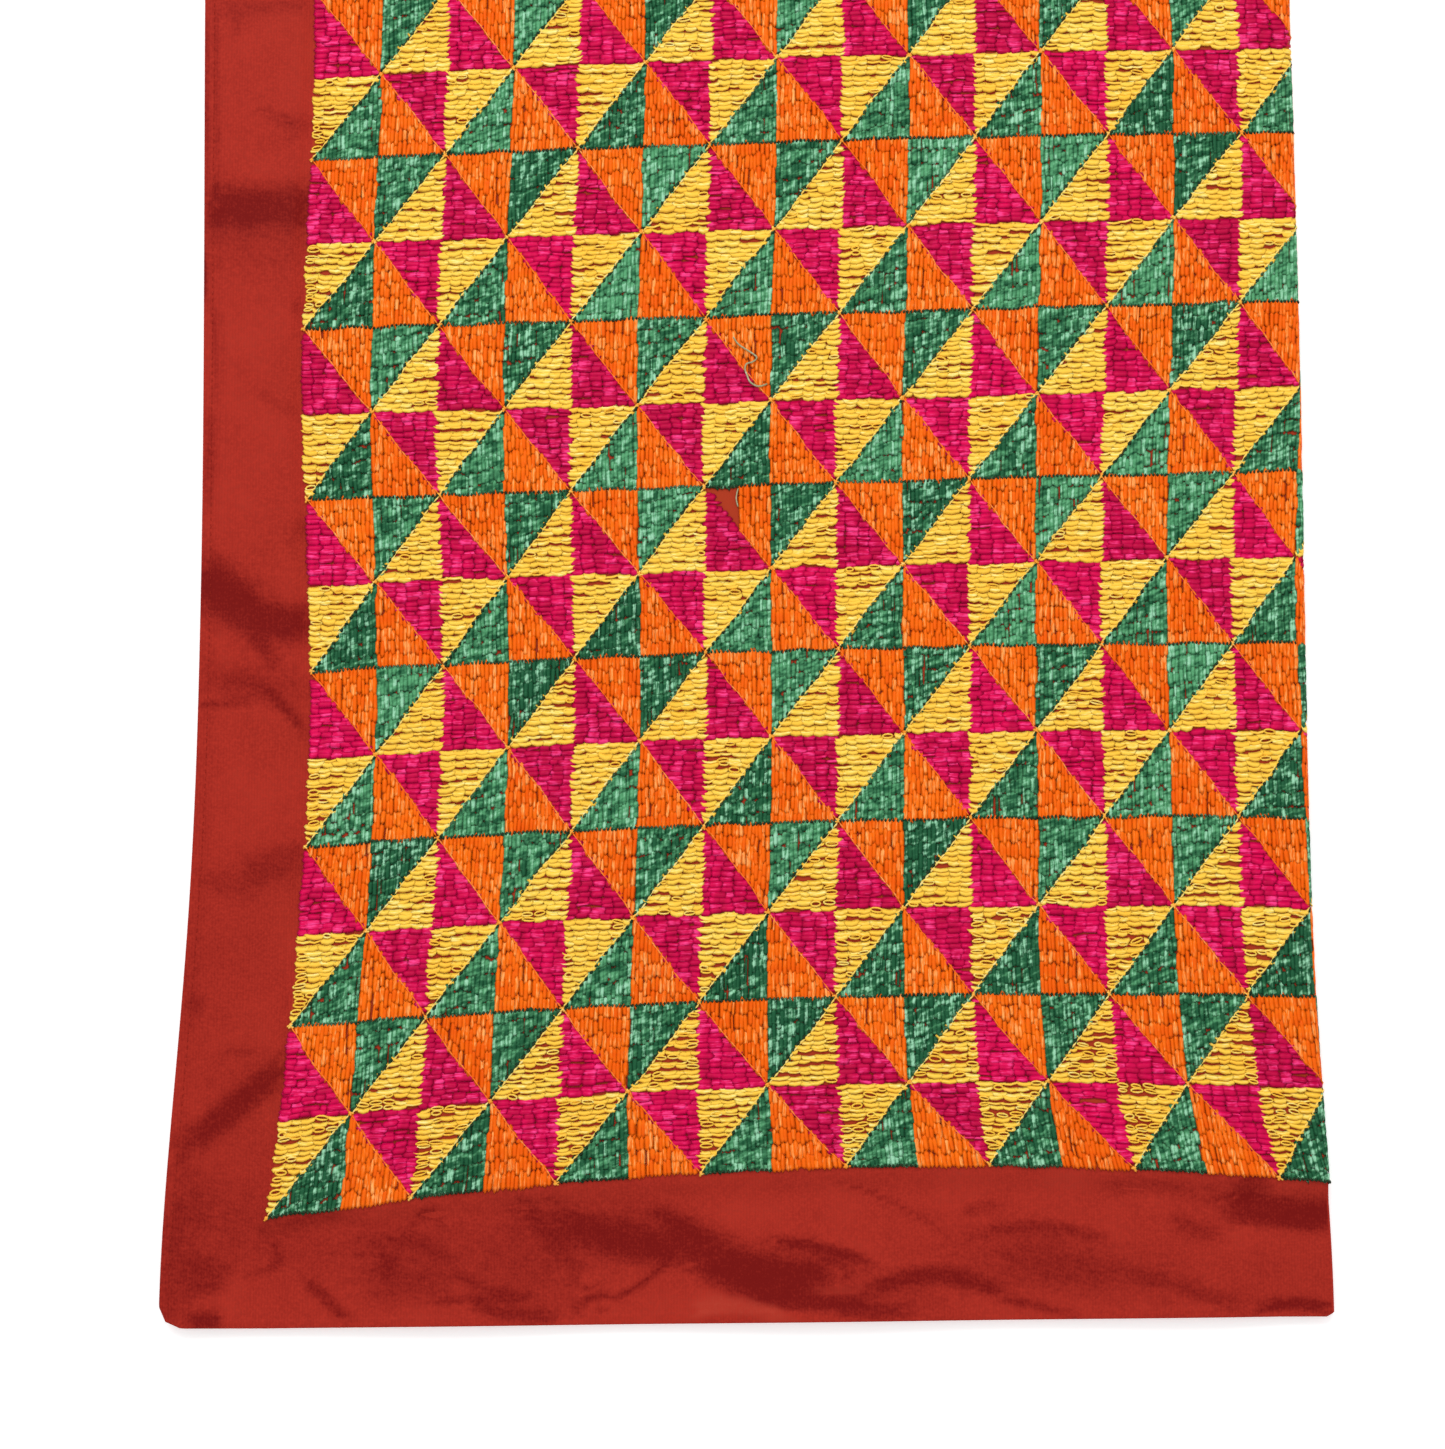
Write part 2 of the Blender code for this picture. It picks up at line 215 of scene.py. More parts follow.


# %% The creases
# A crease's darkness is painted shade on the cloth; below zero it is painted sheen.
# Columns: x and y of one end, the middle and the other end, half the width, darkness
CREASE_CHART = [
    (203, 205, 262, 206, 320, 203, 25, 0.80), (212, 186, 216, 188, 222, 186, 9, 0.35),
    (208, 222, 214, 220, 224, 222, 9, 0.30), (206, 0, 206, 90, 207, 180, 3, 0.35),
    (216, 0, 216, 90, 218, 178, 3, 0.25), (204, 248, 205, 275, 206, 302, 3, 0.75),
    (214, 300, 215, 340, 217, 400, 3, 0.28), (222, 300, 222, 350, 224, 400, 3, 0.18),
    (211, 410, 210, 450, 208, 505, 6, 0.30), (255, 108, 276, 116, 300, 124, 5, 0.35),
    (280, 130, 300, 128, 316, 126, 12, 0.25), (240, 90, 252, 94, 265, 99, 3, 0.20),
    (228, 8, 236, 18, 240, 32, 9, 0.28), (205, 2, 250, 6, 318, 2, 8, 0.30),
    (290, 312, 300, 308, 308, 306, 10, 0.35), (256, 390, 276, 404, 302, 414, 7, 0.25),
    (292, 524, 303, 528, 314, 536, 12, 0.35), (252, 551, 276, 546, 302, 545, 3, 0.20),
    (200, 572, 222, 592, 250, 612, 24, 0.85), (240, 612, 276, 622, 316, 622, 20, 0.80),
    (246, 636, 262, 650, 276, 668, 8, 0.45), (200, 706, 228, 704, 256, 699, 5, 0.50),
    (216, 688, 236, 682, 258, 684, 10, 0.30), (262, 686, 284, 708, 306, 736, 6, 0.60),
    (240, 872, 272, 866, 304, 850, 18, 0.42), (196, 880, 226, 884, 256, 892, 13, 0.28),
    (184, 1002, 196, 1004, 206, 1006, 10, 0.35), (220, 1050, 236, 1051, 252, 1052, 5, 0.28),
    (176, 1154, 226, 1114, 292, 1056, 14, 0.75), (172, 1210, 210, 1230, 240, 1250, 40, 0.16),
    (198, 1254, 203, 1274, 206, 1296, 21, 0.42), (186, 1322, 202, 1322, 222, 1318, 11, 0.70),
    (206, 1296, 216, 1280, 230, 1262, 10, 0.28), (264, 1234, 282, 1250, 252, 1276, 6, 0.40),
    (304, 1278, 326, 1300, 348, 1322, 6, 0.62), (288, 1222, 312, 1218, 342, 1214, 6, 0.28),
    (414, 1222, 430, 1212, 446, 1228, 8, 0.45), (350, 1246, 410, 1242, 456, 1262, 8, 0.34),
    (376, 1262, 388, 1262, 400, 1266, 12, 0.35), (370, 1276, 410, 1286, 450, 1288, 19, 0.32),
    (428, 1300, 478, 1298, 528, 1294, 5, 0.45), (450, 1272, 490, 1290, 528, 1298, 6, 0.50),
    (470, 1306, 510, 1314, 556, 1318, 9, 0.55), (508, 1192, 544, 1228, 578, 1272, 10, 0.40),
    (552, 1208, 620, 1242, 700, 1246, 18, 0.72), (650, 1208, 680, 1226, 706, 1244, 10, 0.62),
    (690, 1250, 760, 1274, 838, 1276, 23, 0.95), (760, 1240, 820, 1248, 874, 1264, 6, 0.75),
    (738, 1290, 800, 1302, 866, 1300, 8, 0.72), (860, 1298, 930, 1276, 1010, 1300, 9, 0.72),
    (1000, 1298, 1040, 1306, 1076, 1314, 5, 0.50), (836, 1312, 870, 1312, 912, 1310, 8, 0.55),
    (574, 1316, 584, 1302, 614, 1299, 4, 0.60), (614, 1299, 642, 1284, 670, 1258, 4, 0.62),
    (578, 1292, 586, 1287, 596, 1286, 3, 0.42), (594, 1316, 602, 1310, 612, 1316, 4, 0.35),
    (830, 1180, 886, 1200, 946, 1238, 3, 0.45), (958, 1216, 980, 1208, 1002, 1206, 8, 0.34),
    (972, 1234, 1040, 1226, 1114, 1242, 7, 0.44), (1000, 1262, 1050, 1266, 1110, 1276, 19, 0.22),
    (1098, 1190, 1150, 1184, 1204, 1198, 10, 0.34), (1168, 1216, 1194, 1228, 1224, 1234, 12, 0.44),
    (1238, 1192, 1252, 1182, 1268, 1178, 13, 0.52), (1230, 1218, 1276, 1220, 1324, 1224, 8, 0.55),
    (1108, 1268, 1180, 1288, 1246, 1308, 8, 0.38), (1256, 1308, 1290, 1304, 1334, 1310, 7, 0.75),
    (690, 1312, 740, 1306, 786, 1316, 10, -0.90), (700, 1290, 730, 1296, 760, 1300, 6, -0.30),
    (780, 1286, 820, 1291, 862, 1288, 4, -0.55), (1040, 1182, 1060, 1180, 1090, 1186, 10, -0.25),
    (1290, 1184, 1310, 1182, 1330, 1180, 8, -0.25), (206, 660, 220, 664, 236, 672, 9, -0.18),
    (230, 238, 250, 243, 268, 246, 8, -0.20),
]
# Columns: x, y, turn, half the length, bow, half the width, darkness
BROAD_CREASES = [
    (246, -550, -7, 33, -3.0, 7.6, 0.80), (152, -583, -10, 52, 3.0, 16.0, 0.17),
    (-262, -575, 80, 45, 0.0, 11.0, 0.32), (-205, -572, -10, 50, 0.0, 24.0, 0.20),
    (-120, -577, -8, 55, 0.0, 20.0, 0.34), (-85, -560, -14, 32, 0.0, 10.0, 0.30),
    (-40, -563, -16, 34, 0.0, 12.0, 0.35), (60, -590, -4, 40, 0.0, 10.0, 0.25),
    (150, -577, -8, 70, 0.0, 16.0, 0.20), (245, -585, 10, 30, 0.0, 18.0, 0.16),
    (-240, -430, 60, 60, 0.0, 30.0, 0.16), (-235, -520, 75, 45, 0.0, 30.0, 0.20),
    (-235, -100, 0, 40, 0.0, 16.0, 0.22), (-240, -272, -30, 34, 0.0, 15.0, 0.30),
    (-232, -308, -10, 30, 0.0, 10.0, 0.30),
]
CREASES = np.array([*(crease(*row) for row in CREASE_CHART), *BROAD_CREASES])
print("creases charted:", len(CREASE_CHART), "and broad:", len(BROAD_CREASES))


def lattice(x, y, size, seed):
    """Smooth noise from -1 to 1: random values on a square lattice of the
    given size in metres, blended by smooth() in x and then in y."""
    table = np.random.default_rng(seed).uniform(-1, 1, (257, 257))
    gx, gy = x / size + 500.0, y / size + 500.0
    ix, iy = np.floor(gx).astype(int), np.floor(gy).astype(int)
    fx, fy = smooth(gx - ix), smooth(gy - iy)
    a, b = table[iy % 257, ix % 257], table[iy % 257, (ix + 1) % 257]
    c, d = table[(iy + 1) % 257, ix % 257], table[(iy + 1) % 257, (ix + 1) % 257]
    return (a + (b - a) * fx) * (1 - fy) + (c + (d - c) * fx) * fy


def hidden_creases(count=26):
    """More creases like these for the side border that the photo crops."""
    g = np.random.default_rng(5)
    y = np.linspace(50, 590, count) + g.uniform(-8, 8, count)
    x = g.uniform(-252, -212, count)
    half = g.uniform(7, 28, count)
    wide = g.uniform(1.4, 9.0, count)
    dark = g.uniform(0.2, 0.75, count) * np.where(g.random(count) < 0.15, -0.5, 1.0)
    return np.stack([x, y, g.normal(0, 26, count), half, g.uniform(-3, 3, count), wide, dark], axis=1)


CREASES = np.concatenate([CREASES, hidden_creases()])


def creases(x, y):
    """Height in metres, painted shade and painted sheen at (x, y). Along a
    crease s runs from -1 to 1, across it t = (offset - bow (1 - s^2)) /
    half width, and its weight is exp(-|t|^2.6), frayed into streaks past
    its ends. The painted shade adds up as 1 - product(1 - dark * weight),
    and the painted sheen the same way. The painted shade is also a little
    darker along the hem of the open side."""
    height, dark, light = np.zeros_like(x), np.ones_like(x), np.ones_like(x)
    for cx, cy, turn, half, bow, wide, tone in CREASES:
        c, s_ = math.cos(math.radians(turn)), math.sin(math.radians(turn))
        dx, dy = x * 1000 - cx, y * 1000 - cy
        along, across = dx * c + dy * s_, dy * c - dx * s_
        broad = lattice(along / 1000, across / 1000, 0.0035, 50)
        streak = broad * 0.5 + lattice(along / 3000, across / 1000, 0.0022, 51)
        s = along / half
        t = (across - bow * (1 - np.minimum(s * s, 2.0))) / wide + 0.08 * streak
        weight = np.exp(-np.abs(t) ** 2.6) * smooth((1.35 + 0.25 * streak - np.abs(s)) / 0.8)
        height -= min(wide * 0.06, 0.45) * tone * weight / 1000
        dark *= 1 - max(tone, 0) * weight
        light *= 1 - max(-tone, 0) * weight
    # Painted shade: a little darker along the hem of the open side.
    dark *= 1 - 0.10 * smooth((0.0090 - (x - side_edge(y))) / 0.0015)
    return height, 1 - dark, 1 - light


def lift(x, y):
    """Soft waves of the top leaf: 0.4 mm (1 + sin) over the field, and
    1.1 mm (1 + cos) at the near end, and none at the folds."""
    s = y + LENGTH / 2
    field = 0.0004 * (1 + np.sin(2 * math.pi * (x / 0.42 + y / 0.61) + 0.6))
    end = 0.0011 * (1 + np.cos(2 * math.pi * (x - 0.035) / 0.17)) * np.exp(-(s / 0.060) ** 2)
    return (field + end) * smooth((fold_edge(y) - 0.004 - x) / 0.05) * smooth((FOLD_Y - y) / 0.08)


print("creases:", len(CREASES))

# %% [markdown]
# ## Round the two folds
#
# Both folds are half circles. The lengthwise fold turns the cloth over on a radius of a quarter of the stack,
# and the crosswise fold turns all of that over on half of the stack. One function does both, for the cloth as
# well as for each stitch, so the pattern runs round the folds without a break.

# %% From the flat cloth to its place
def stack(share):
    """Half the height of the stack, and the outer radius of the fold."""
    r0 = (BORDER_STACK + (FIELD_STACK - BORDER_STACK) * share) / 2
    return r0, (r0 - MID_GAP / 2) / 2


def turn_over(x, y, r0, r, d, phi, lip, psi, back):
    """x + (r + d) sin(phi) - lip across the lengthwise fold, then
    y + R sin(psi) - back and z = r0 + R cos(psi) round the crosswise one,
    where R = r0 - r + (r + d) cos(phi)."""
    level = r0 - r + (r + d) * np.cos(phi)
    return x + (r + d) * np.sin(phi) - lip, y + level * np.sin(psi) - back, r0 + level * np.cos(psi)


def folded(u, v):
    """Where the pattern's (u, v) lies before it is turned: x, y on the flat
    part, both turns phi and psi, and how far it has run back past each."""
    x, y = pattern_point(u, v)
    r0, r = stack(field_share(u, v))
    past = np.maximum(y - FOLD_Y, 0)
    psi = np.minimum(past / r0, math.pi)
    back = np.maximum(past - math.pi * r0, 0)
    y = np.minimum(y, FOLD_Y)
    x_fold = fold_edge(y - back) - FOLD_RADIUS
    over = np.maximum(x - x_fold, 0)
    phi = np.minimum(over / r, math.pi)
    lip = np.maximum(over - math.pi * r, 0)
    return np.minimum(x, x_fold), y, r0, r, phi, lip, psi, back


def spot(u, v, h):
    """The point h above the ground cloth at the pattern's (u, v)."""
    x, y, r0, r, phi, lip, psi, back = folded(u, v)
    out = turn_over(x, y, r0, r, h - (FLOSS + GAP) * field_share(u, v), phi, lip, psi, back)
    up = lift(x, y) * (phi <= 0) * (psi <= 0)
    return np.stack([out[0], out[1], out[2] + up], axis=-1)


def turns_at(u, v):
    """The two turns at (u, v)."""
    return folded(u, v)[4], folded(u, v)[6]


print("a stitch on the fold lies at mm", np.round(spot(np.array(14.9), np.array(10.0), 0.0005) * 1000, 1))


# %% [markdown]
# ## One way to make every mesh
#
# Every piece below is worked out as arrays, so one helper puts arrays into a mesh. It takes faces with three,
# four or more corners, and named values for each point, which the materials read.

# %% Arrays into a mesh
def piece(name, points, faces, values=None, smooth_shaded=True):
    """A mesh object from points (n, 3), a list of face arrays (m, k), and
    values {name: (n, 4)} kept as colour attributes on the points."""
    mesh = bpy.data.meshes.new(name)
    corners = np.concatenate([np.asarray(f).ravel() for f in faces]).astype(np.int32)
    sizes = np.concatenate([np.full(len(f), np.asarray(f).shape[1]) for f in faces])
    starts = np.concatenate([[0], np.cumsum(sizes)[:-1]]).astype(np.int32)
    mesh.vertices.add(len(points))
    mesh.vertices.foreach_set("co", np.asarray(points, dtype=np.float32).ravel())
    mesh.loops.add(len(corners))
    mesh.loops.foreach_set("vertex_index", corners)
    mesh.polygons.add(len(sizes))
    mesh.polygons.foreach_set("loop_start", starts)
    mesh.update(calc_edges=True)
    mesh.polygons.foreach_set("use_smooth", np.full(len(sizes), smooth_shaded))
    for key, value in (values or {}).items():
        layer = mesh.attributes.new(key, "FLOAT_COLOR", "POINT")
        layer.data.foreach_set("color", np.asarray(value, dtype=np.float32).ravel())
    mesh.update()
    obj = bpy.data.objects.new(name, mesh)
    bpy.context.scene.collection.objects.link(obj)
    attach(obj, "root")
    print(f"{name}: {len(points)} points, {int((sizes - 2).sum())} triangles")
    return obj


# %% [markdown]
# ## Materials as expressions
#
# A material is a sum of masks and noises. Written with Python's operators it reads like the formula that it
# is, so a small class wraps a socket, and each operator adds the node that does it.

# %% Shader maths
class Link:
    """A node's output in a material. +, -, * and / add Math nodes."""

    def __init__(self, finish, socket):
        self.finish, self.socket = finish, socket

    def _math(self, operation, *values):
        return self.finish.node("ShaderNodeMath", {"operation": operation}, dict(enumerate(values)))

    def __add__(self, other):
        return self._math("ADD", self, other)

    def __radd__(self, other):
        return self._math("ADD", other, self)

    def __sub__(self, other):
        return self._math("SUBTRACT", self, other)

    def __rsub__(self, other):
        return self._math("SUBTRACT", other, self)

    def __mul__(self, other):
        return self._math("MULTIPLY", self, other)

    def __rmul__(self, other):
        return self._math("MULTIPLY", other, self)

    def __truediv__(self, other):
        return self._math("DIVIDE", self, other)

    def __rtruediv__(self, other):
        return self._math("DIVIDE", other, self)

    def fract(self):
        return self._math("FRACT", self)

    def above(self, edge):
        """1 where the value is over the edge, else 0."""
        return self._math("GREATER_THAN", self, edge)

    def clamp(self):
        return self.finish.node("ShaderNodeClamp", {}, {0: self})

    def ramp(self, low, high):
        """0 at low, 1 at high, smooth between, in one Map Range node."""
        return self.finish.node("ShaderNodeMapRange", {"interpolation_type": "SMOOTHSTEP"},
                                {0: self, 1: low, 2: high, 3: 0.0, 4: 1.0})


def rgb(red, green, blue):
    """A colour given as it looks on screen, 0 to 255, in linear light."""
    c = np.array([red, green, blue]) / 255.0
    c = np.where(c <= 0.04045, c / 12.92, ((c + 0.055) / 1.055) ** 2.4)
    return (*[float(k) for k in c], 1.0)


class Finish:
    """A material with a Principled BSDF, built up node by node."""

    def __init__(self, name, **fixed):
        self.material = bpy.data.materials.new(name)
        self.material.use_nodes = True
        self.tree = self.material.node_tree
        self.shader = self.tree.nodes["Principled BSDF"]
        for key, value in fixed.items():
            self.shader.inputs[key.replace("_", " ").title().replace("Ior", "IOR")].default_value = value

    def node(self, kind, settings=None, inputs=None, out=0):
        """Any node: its settings first, then values or links by socket."""
        made = self.tree.nodes.new(kind)
        for key, value in (settings or {}).items():
            setattr(made, key, value)
        for key, value in (inputs or {}).items():
            if isinstance(value, Link):
                self.tree.links.new(value.socket, made.inputs[key])
            else:
                made.inputs[key].default_value = value
        return Link(self, made.outputs[out])

    def split(self, link, kind="ShaderNodeSeparateColor"):
        """The three parts of a colour or vector."""
        made = self.tree.nodes.new(kind)
        self.tree.links.new(link.socket, made.inputs[0])
        return [Link(self, made.outputs[k]) for k in range(3)]

    def mix(self, factor, a, b, blend="MIX"):
        """Colour a, turning into b as the factor goes from 0 to 1."""
        return self.node("ShaderNodeMix", {"data_type": "RGBA", "blend_type": blend},
                         {0: factor, 6: a, 7: b}, out=2)

    def place(self, scale=(1, 1, 1)):
        """Object coordinates, scaled by a Mapping node."""
        at = self.node("ShaderNodeTexCoord", out=3)
        return self.node("ShaderNodeMapping", {}, {"Vector": at, "Scale": scale})

    def streaks(self, turn, along, across):
        """Object coordinates over along metres in the direction turn, and
        over across metres at right angles to it."""
        c, s = math.cos(turn), math.sin(turn)
        x, y, z = self.split(self.place(), "ShaderNodeSeparateXYZ")
        return self.node("ShaderNodeCombineXYZ", {}, {0: (x * c + y * s) / along, 1: (y * c - x * s) / across,
                                                      2: z / across})

    def noise(self, vector, scale, detail=2.0, rough=0.5):
        return self.node("ShaderNodeTexNoise", {}, {"Vector": vector, "Scale": scale, "Detail": detail,
                                                    "Roughness": rough})

    def bump(self, height, distance, strength=1.0):
        return self.node("ShaderNodeBump", {}, {"Height": height, "Distance": distance,
                                                "Strength": strength})

    def feed(self, **links):
        """Links into the shader's varying sockets."""
        for key, link in links.items():
            self.tree.links.new(link.socket, self.shader.inputs[key.replace("_", " ")])
        return self.material


print("mid rust in linear light:", [round(c, 3) for c in rgb(168, 44, 36)[:3]])

# %% [markdown]
# ## The ground cloth
#
# The cloth that shows is one leaf: it covers the top, turns both folds and lies on the floor underneath.
# A grid over the pattern's coordinates gives its outer face, finer in the borders, where creases show. Its
# inner face, which nobody sees, is coarse. A narrow turned hem thickens its open edges.

# %% The grid's columns and rows
def steps(width, fine=(0, 0.5, 1.2, 2.0, 3.0, 4.0, 4.6, 5.2, 6.0, 7.0, 8.4, 10.0), pace=2.6):
    """Distances in from an edge, in mm: close ones at the hem, then even."""
    rest = np.linspace(fine[-1], width, int(round((width - fine[-1]) / pace)) + 1)[1:]
    return np.concatenate([fine, rest])


IN_VIEW = 14.5          # rows of half-cells that the photo shows
side = steps(SIDE_BORDER * 1000)
end = steps(END_BORDER * 1000, pace=2.2)
u_flat = np.concatenate([-BORDER_U * (1 - side / (SIDE_BORDER * 1000)), np.linspace(0, COLUMNS, 151)[1:]])
v_flat = np.concatenate([-BORDER_V * (1 - end / (END_BORDER * 1000)), np.linspace(0, IN_VIEW, 194)[1:],
                         np.linspace(IN_VIEW, ROWS, 91)[1:]])
TURNS = 12
cols = np.array([(u, 0, 0) for u in u_flat] + [(COLUMNS, math.pi * k / TURNS, 0) for k in range(1, TURNS + 1)]
                + [(COLUMNS, math.pi, LIP * k / 2) for k in (1, 2)])
rows = np.array([(v, 0) for v in v_flat] + [(ROWS, math.pi * k / TURNS) for k in range(1, TURNS + 1)]
                + [(v, math.pi) for v in (*range(ROWS - 1, -1, -1), -0.4, -0.8, -1.2, -BORDER_V)])
U, PHI, LIPS = (np.broadcast_to(cols[None, :, k], (len(rows), len(cols))) for k in range(3))
V, PSI = (np.broadcast_to(rows[:, None, k], (len(rows), len(cols))) for k in range(2))
print("grid:", U.shape)


# %% Where the sheet lies
def plan(u, v):
    """x and y of the sheet at (u, v): pattern_point in the field, straight
    lines from there to the shawl's edges in the borders, and to the folds
    in the last column and the last row."""
    x, y = pattern_point(np.clip(u, 0, COLUMNS - 1), np.clip(v, 0, ROWS - 1))
    y = y + (FOLD_Y - y) * np.clip(v - (ROWS - 1), 0, 1)
    y = np.where(v < 0, end_edge(x) + (y - end_edge(x)) * (1 + v / BORDER_V), y)
    x = np.where(u < 0, side_edge(y) + (x - side_edge(y)) * (1 + u / BORDER_U), x)
    x = x + (fold_edge(y) - FOLD_RADIUS - x) * np.clip(u - (COLUMNS - 1), 0, 1)
    corner = np.clip(1 - (x - side_edge(y) + y - end_edge(x)) / 0.0105, 0, 1)
    return x + 0.0033 * corner, y + 0.0033 * corner


def sheet_points(below):
    """The sheet's points, a distance below its outer face."""
    x, y = plan(U, V)
    share = field_share(U, V)
    r0, r = stack(share)
    top = (PHI == 0) * (PSI == 0)
    from_side = (U + BORDER_U) / BORDER_U * SIDE_BORDER
    from_end = (V + BORDER_V) / BORDER_V * END_BORDER
    inward = np.minimum(from_side, from_end)
    groove = 0.00012 * np.exp(-((from_side - 0.0054) / 0.0008) ** 2)
    hem = 0.00018 * smooth((0.0052 - inward) / 0.0010) - groove
    round_edge = -0.00025 * smooth((0.0009 - inward) / 0.0009)
    fold_height, dark, light = creases(x, y)
    rough = fold_height * (1 - share) + 0.00010 * lattice(x, y, 0.011, 8)
    wave = lift(x, y) + rough * smooth(inward / 0.004)
    d = -(FLOSS + GAP) * share - below
    xs, ys, zs = turn_over(x, y, r0, r, d, PHI, LIPS, PSI, 0.0)
    zs = zs + top * (wave + (hem + round_edge) * (below == 0))
    cut = np.clip((xs - fold_edge(ys) + 0.0040) / 0.0040, 0, 1)
    ys = ys + 0.0030 * cut * smooth(1 - from_end / 0.006)
    # The creases' painted shade and painted sheen go with the points on top, for the material to read.
    look = np.stack([dark * top, light * top, share, top * 1.0], axis=-1)
    return np.stack([xs, ys, zs], axis=-1), look


outer, cloth_look = sheet_points(0.0)
inner, _ = sheet_points(CLOTH)
levels = [round(float(z) * 1000, 2) for z in (outer[..., 2].min(), outer[..., 2].max())]
print("cloth from z =", levels[0], "to", levels[1], "mm")


# %% Close it with a coarse inner face
def shell_faces(nv, nu, step_v, step_u):
    """Quads of the outer grid, quads of the rim, and the inner face's
    coarse cells, whose outline takes in each rim point that it passes."""
    index = np.arange(nv * nu).reshape(nv, nu)
    quads = np.stack([index[:-1, :-1], index[:-1, 1:], index[1:, 1:], index[1:, :-1]], axis=-1).reshape(-1, 4)
    pick_v = sorted({*range(0, nv - 1, step_v), nv - 1})
    pick_u = sorted({*range(0, nu - 1, step_u), nu - 1})
    used = np.zeros((nv, nu), bool)
    used[np.ix_(pick_v, pick_u)] = True
    used[[0, -1], :] = used[:, [0, -1]] = True
    under = np.full((nv, nu), -1)
    under[used] = nv * nu + np.arange(used.sum())
    cells = []
    for a, b in zip(pick_v[:-1], pick_v[1:]):
        for c, d in zip(pick_u[:-1], pick_u[1:]):
            low = under[a, c:d] if a == 0 else under[a, c:c + 1]
            right = under[a:b, d] if d == nu - 1 else under[a:a + 1, d]
            high = under[b, d:c:-1] if b == nv - 1 else under[b, d:d + 1]
            left = under[b:a:-1, c] if c == 0 else under[b:b + 1, c]
            cells.append(np.concatenate([low, right, high, left])[::-1])
    rim = [*[(0, i) for i in range(nu - 1)], *[(j, nu - 1) for j in range(nv - 1)],
           *[(nv - 1, i) for i in range(nu - 1, 0, -1)], *[(j, 0) for j in range(nv - 1, 0, -1)]]
    top = np.array([index[k] for k in rim])
    low = np.array([under[k] for k in rim])
    rim_quads = np.stack([top, low, np.roll(low, -1), np.roll(top, -1)], axis=-1)
    by_size = {}
    for cell in cells:
        by_size.setdefault(len(cell), []).append(cell)
    return [quads, rim_quads, *[np.array(c) for c in by_size.values()]], used


faces, used = shell_faces(*outer.shape[:2], 5, 6)
points = np.concatenate([outer.reshape(-1, 3), inner[used]])
looks = np.concatenate([cloth_look.reshape(-1, 4), cloth_look[used]])
ground = piece("ground_cloth_shown", points, faces, {"cloth": looks})
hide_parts("ground_cloth")

# %% [markdown]
# ## The hidden leaves
#
# Between the top and the bottom leaf lie two more, and only their edges show, at the open side and the near
# end. So they share one rounded solid with a groove between two soft ridges, and each ridge wanders a little,
# as the edge of a loose leaf does. It is made of patches that meet at their borders and are welded there.

# %% Two leaves with rounded edges
def leaf_profile(count=5):
    """Height h from 1 to 0 and set-back, in metres, of a rounded edge: the
    set-back is 1.1 mm (1 - sin a), and 2.5 mm in the groove at h = 0."""
    a = np.linspace(0, math.pi, count)
    h = 1 - 0.93 * (1 - np.cos(a)) / 2
    back = 0.0011 * (1 - np.sin(a))
    return np.concatenate([h, [0.0]]), np.concatenate([back, [0.0025]])


def leaf_level(u, v, h, back, psi):
    """The solid's points at height h * R above its middle, turned by psi
    round the far fold, with the open edges standing back."""
    x, y = plan(u, v)
    share = field_share(u, v)
    r0 = stack(share)[0]
    radius = (r0 - (FLOSS + GAP) * share - (WALL + GAP)) * h
    side_edge_here = (u <= -BORDER_U) * 1.0
    end_edge_here = (v <= -BORDER_V) * 1.0
    leaf = 20 if psi == 0 else 30
    wander = 0.0007 * (1 + lattice(x, y, 0.045, leaf) + 0.5 * lattice(x, y, 0.013, leaf + 1))
    wander = wander * (h > 0) * smooth(ROWS - v)
    x = x + side_edge_here * (0.0010 + back + wander) - (u >= COLUMNS) * (LIP + 0.001)
    y = y + end_edge_here * (0.0010 + back + wander)
    up = lift(*plan(u, v)) * h * (psi == 0)
    return np.stack([x, y + radius * math.sin(psi), r0 + radius * math.cos(psi) + up], axis=-1)


def patch_faces(start, rows_n, cols_n):
    """The quads of a grid of points whose numbers begin at start."""
    a = start + np.arange(rows_n * cols_n).reshape(rows_n, cols_n)
    return np.stack([a[:-1, :-1], a[:-1, 1:], a[1:, 1:], a[1:, :-1]], axis=-1).reshape(-1, 4)


def inner_leaves():
    u = np.concatenate([np.linspace(-BORDER_U, 0, 9), np.arange(1, COLUMNS + 1)])
    v = np.concatenate([np.linspace(-BORDER_V, 0, 9), np.arange(0.25, ROWS + 0.1, 0.25)])
    u, v = np.meshgrid(u, v)
    hs, backs = leaf_profile()
    patches = []
    for psi in (0.0, math.pi):
        levels = np.stack([leaf_level(u, v, h, b, psi) for h, b in zip(hs, backs)])
        patches += [levels[0], levels[:, :, 0], levels[:, 0, :], levels[:, :, -1]]
    ring = np.stack([[leaf_level(u[-1], v[-1], h, b, math.pi * k / TURNS) for h, b in zip(hs, backs)]
                     for k in range(TURNS + 1)])
    patches += [ring[:, 0], ring[:, :, 0], ring[:, :, -1]]
    starts = np.cumsum([0] + [p.shape[0] * p.shape[1] for p in patches])
    faces = [patch_faces(s, *p.shape[:2]) for s, p in zip(starts, patches)]
    obj = piece("inner_leaves_shown", np.concatenate([p.reshape(-1, 3) for p in patches]), faces)
    work = bmesh.new()
    work.from_mesh(obj.data)
    bmesh.ops.remove_doubles(work, verts=work.verts, dist=1e-6)
    bmesh.ops.recalc_face_normals(work, faces=work.faces)
    open_edges = sum(1 for e in work.edges if not e.is_manifold)
    if work.calc_volume(signed=True) < 0:
        bmesh.ops.reverse_faces(work, faces=work.faces)
    work.to_mesh(obj.data)
    work.free()
    print("open edges of the hidden leaves:", open_edges)
    return obj


leaves = inner_leaves()
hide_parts("inner_leaves")

